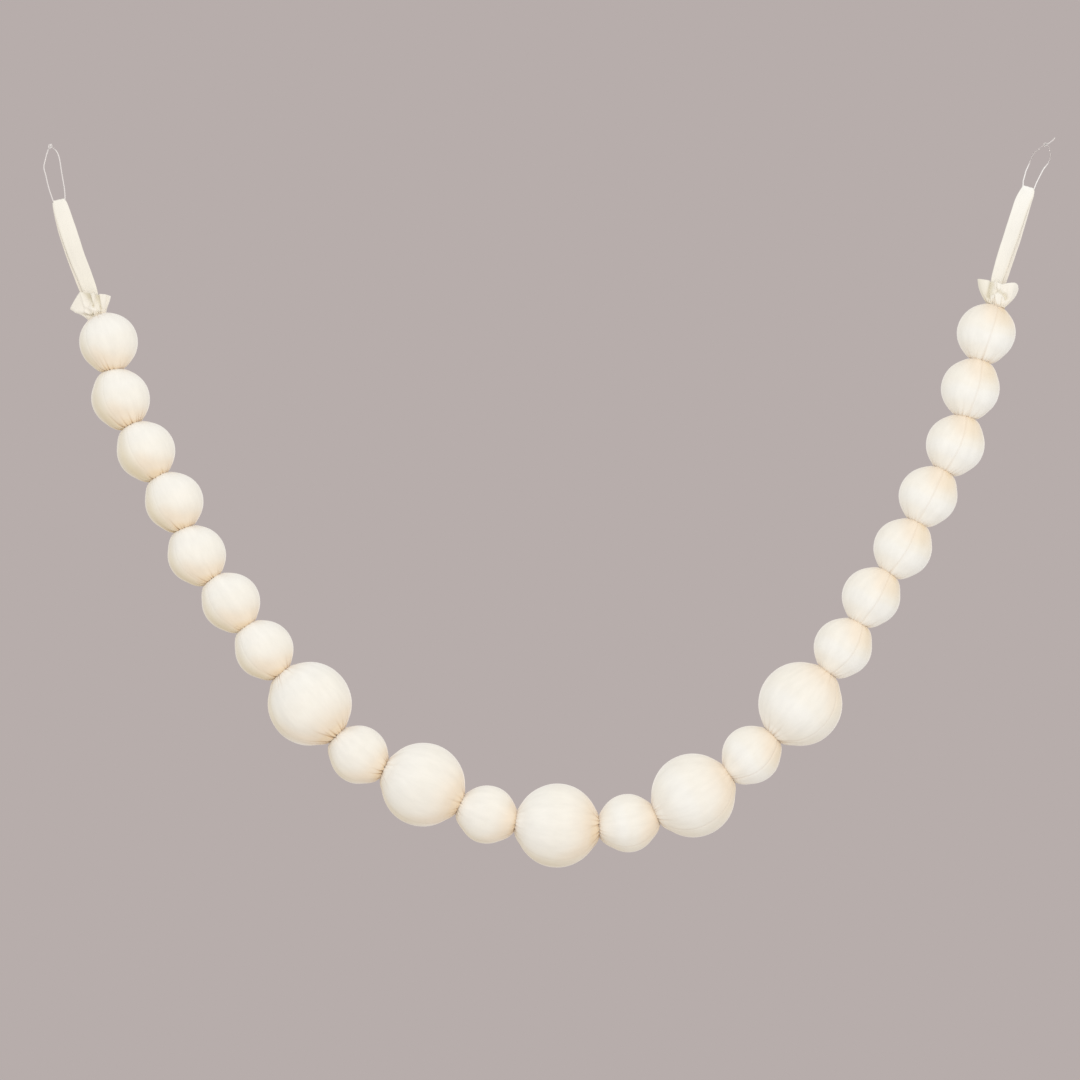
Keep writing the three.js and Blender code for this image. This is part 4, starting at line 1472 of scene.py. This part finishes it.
# %% [markdown]
# ## Cotton thread and nylon
#
# The ties are matt cotton, a shade deeper than the velvet, with the small ribs of a twisted thread.
# Nylon is clear but milky, with a soft gloss. A thread this thin goes dark and speckled if all of it
# lets light through, so its colour is first painted dimmer, towards the backdrop's colour, as a painted
# see-through, and only where it is really clear does the light pass.

# %% The thread material
RIBS_TO_METRE = 2600
tie_cotton = Nodes(bpy.data.materials.new("tie_cotton"))
fibres = tie_cotton.noise(tie_cotton.place(), RIBS_TO_METRE, detail=2)
tie_cotton.shader({
    "Base Color": tie_cotton.colours(fibres, [(0.35, (0.76, 0.66, 0.52, 1)), (0.65, (0.88, 0.81, 0.68, 1))]),
    "Normal": tie_cotton.bump(fibres, strength=0.5, distance=0.1 * MM),
    "Roughness": 0.8,
    "Specular IOR Level": 0.25,
})

# %% The nylon material
# Painted see-through: the colour that the nylon is painted towards as it starts to clear.
NYLON_PAINTED_BACKDROP = (0.66, 0.58, 0.565, 1)
DIMNESS = [(0, (0, 0, 0, 1)), (1, (0.12, 0.12, 0.12, 1)), (0.4, (0.4, 0.4, 0.4, 1))]
MILKY = [(0.3, (0.93, 0.90, 0.885, 1)), (0.7, (0.96, 0.935, 0.92, 1))]
HAZE_TO_METRE = 420
CLEAR_STARTS = 0.45

nylon = Nodes(bpy.data.materials.new("clear_nylon"))
haze = nylon.noise(nylon.place(), HAZE_TO_METRE, detail=2)
clearness = nylon.fact("clear")
nylon.shader({
    "Base Color": nylon.mixed(nylon.colours(haze, MILKY), NYLON_PAINTED_BACKDROP, nylon.colours(clearness, DIMNESS)),
    "Roughness": nylon.spread(haze, low=0.3, high=0.4),
    "Transmission Weight": nylon.spread(clearness, low=0.1, high=0.75, start=CLEAR_STARTS),
    "IOR": 1.53,
})

# %% Dress every piece
for dressed, finish in ((balls + frills + straps, velvet), (ties, tie_cotton), (nylon_pieces, nylon)):
    for piece in dressed:
        piece.data.materials.clear()
        piece.data.materials.append(finish.owner)
    print(len(dressed), "pieces of", finish.owner.name)

# %% [markdown]
# ## Floor, backdrop and lamps
#
# The garland hangs before a plain greyish pink backdrop, over a pale floor that is a little below it.
# The backdrop is only a colour: the world shows it to the camera, to reflections and through the
# nylon, and gives all other rays an even white light. A large soft lamp in front does the modelling,
# and a weaker one from the side keeps the far side of the balls from going flat.

# %% The floor
FLOOR_DROP = 0.62
FLOOR_RADIUS = 1.5
FLOOR_THICKNESS = 0.02
FLOOR_SIDES = 96
FLOOR_COLOUR = (0.80, 0.77, 0.75, 1)

angle = np.linspace(0, 2 * math.pi, FLOOR_SIDES, endpoint=False)
rings = [
    np.stack([FLOOR_RADIUS * np.cos(angle), FLOOR_RADIUS * np.sin(angle), 0 * angle + top], axis=-1)
    for top in (lowest[2] - FLOOR_DROP, lowest[2] - FLOOR_DROP - FLOOR_THICKNESS)
]
floor = piece_from("floor", [(np.array(rings), "cap")])
floor.data.shade_flat()
pale_floor = Nodes(bpy.data.materials.new("pale_floor"))
pale_floor.shader({"Base Color": FLOOR_COLOUR, "Roughness": 0.9})
floor.data.materials.append(pale_floor.owner)

# %% The backdrop colour and the even light
BACKDROP = (0.4735, 0.4179, 0.4072, 1)
EVEN_LIGHT = (1.0, 0.985, 0.96, 1)
EVEN_STRENGTH = 0.83

studio = Nodes(bpy.data.worlds.new("studio"))
bpy.context.scene.world = studio.owner
even = studio.tree.nodes["Background"]
studio.fill(even, {"Color": EVEN_LIGHT, "Strength": EVEN_STRENGTH})
seen = studio.node("Background", {"Color": BACKDROP})
rays = studio.node("LightPath", {})
sees = rays.outputs["Is Camera Ray"]
for other in ("Is Glossy Ray", "Is Transmission Ray"):
    sees = studio.node("Math", {0: sees, 1: rays.outputs[other]}, operation="MAXIMUM").outputs[0]
choose = studio.node("MixShader", {0: sees, 1: even.outputs[0], 2: seen.outputs[0]})
studio.fill(studio.tree.nodes["World Output"], {"Surface": choose.outputs[0]})
print("The world is made of", len(studio.tree.nodes), "nodes")

# %% The lamps
LAMPS_AIM = Vector((0, 0, -0.4))


def soft_lamp(name, place, size, watts):
    """A round lamp, turned towards the middle of the garland."""
    lamp = bpy.data.lights.new(name, "AREA")
    lamp.shape = "DISK"
    lamp.size = size
    lamp.energy = watts
    holder = bpy.data.objects.new(name, lamp)
    holder.location = place
    holder.rotation_euler = (LAMPS_AIM - holder.location).to_track_quat("-Z", "Y").to_euler()
    bpy.context.collection.objects.link(holder)
    print(name, "gives", watts, "W from a disc", size, "m across")


soft_lamp("front_lamp", place=(0.2, -2.4, 0.5), size=1.3, watts=17)
soft_lamp("side_lamp", place=(2.0, -1.5, -0.7), size=0.9, watts=1.5)

# %% [markdown]
# ## Colours as written
#
# The Standard view shows a colour as it was mixed. The last cell sets it and hands the scene over.

# %% Finish
bpy.context.scene.view_settings.view_transform = "Standard"
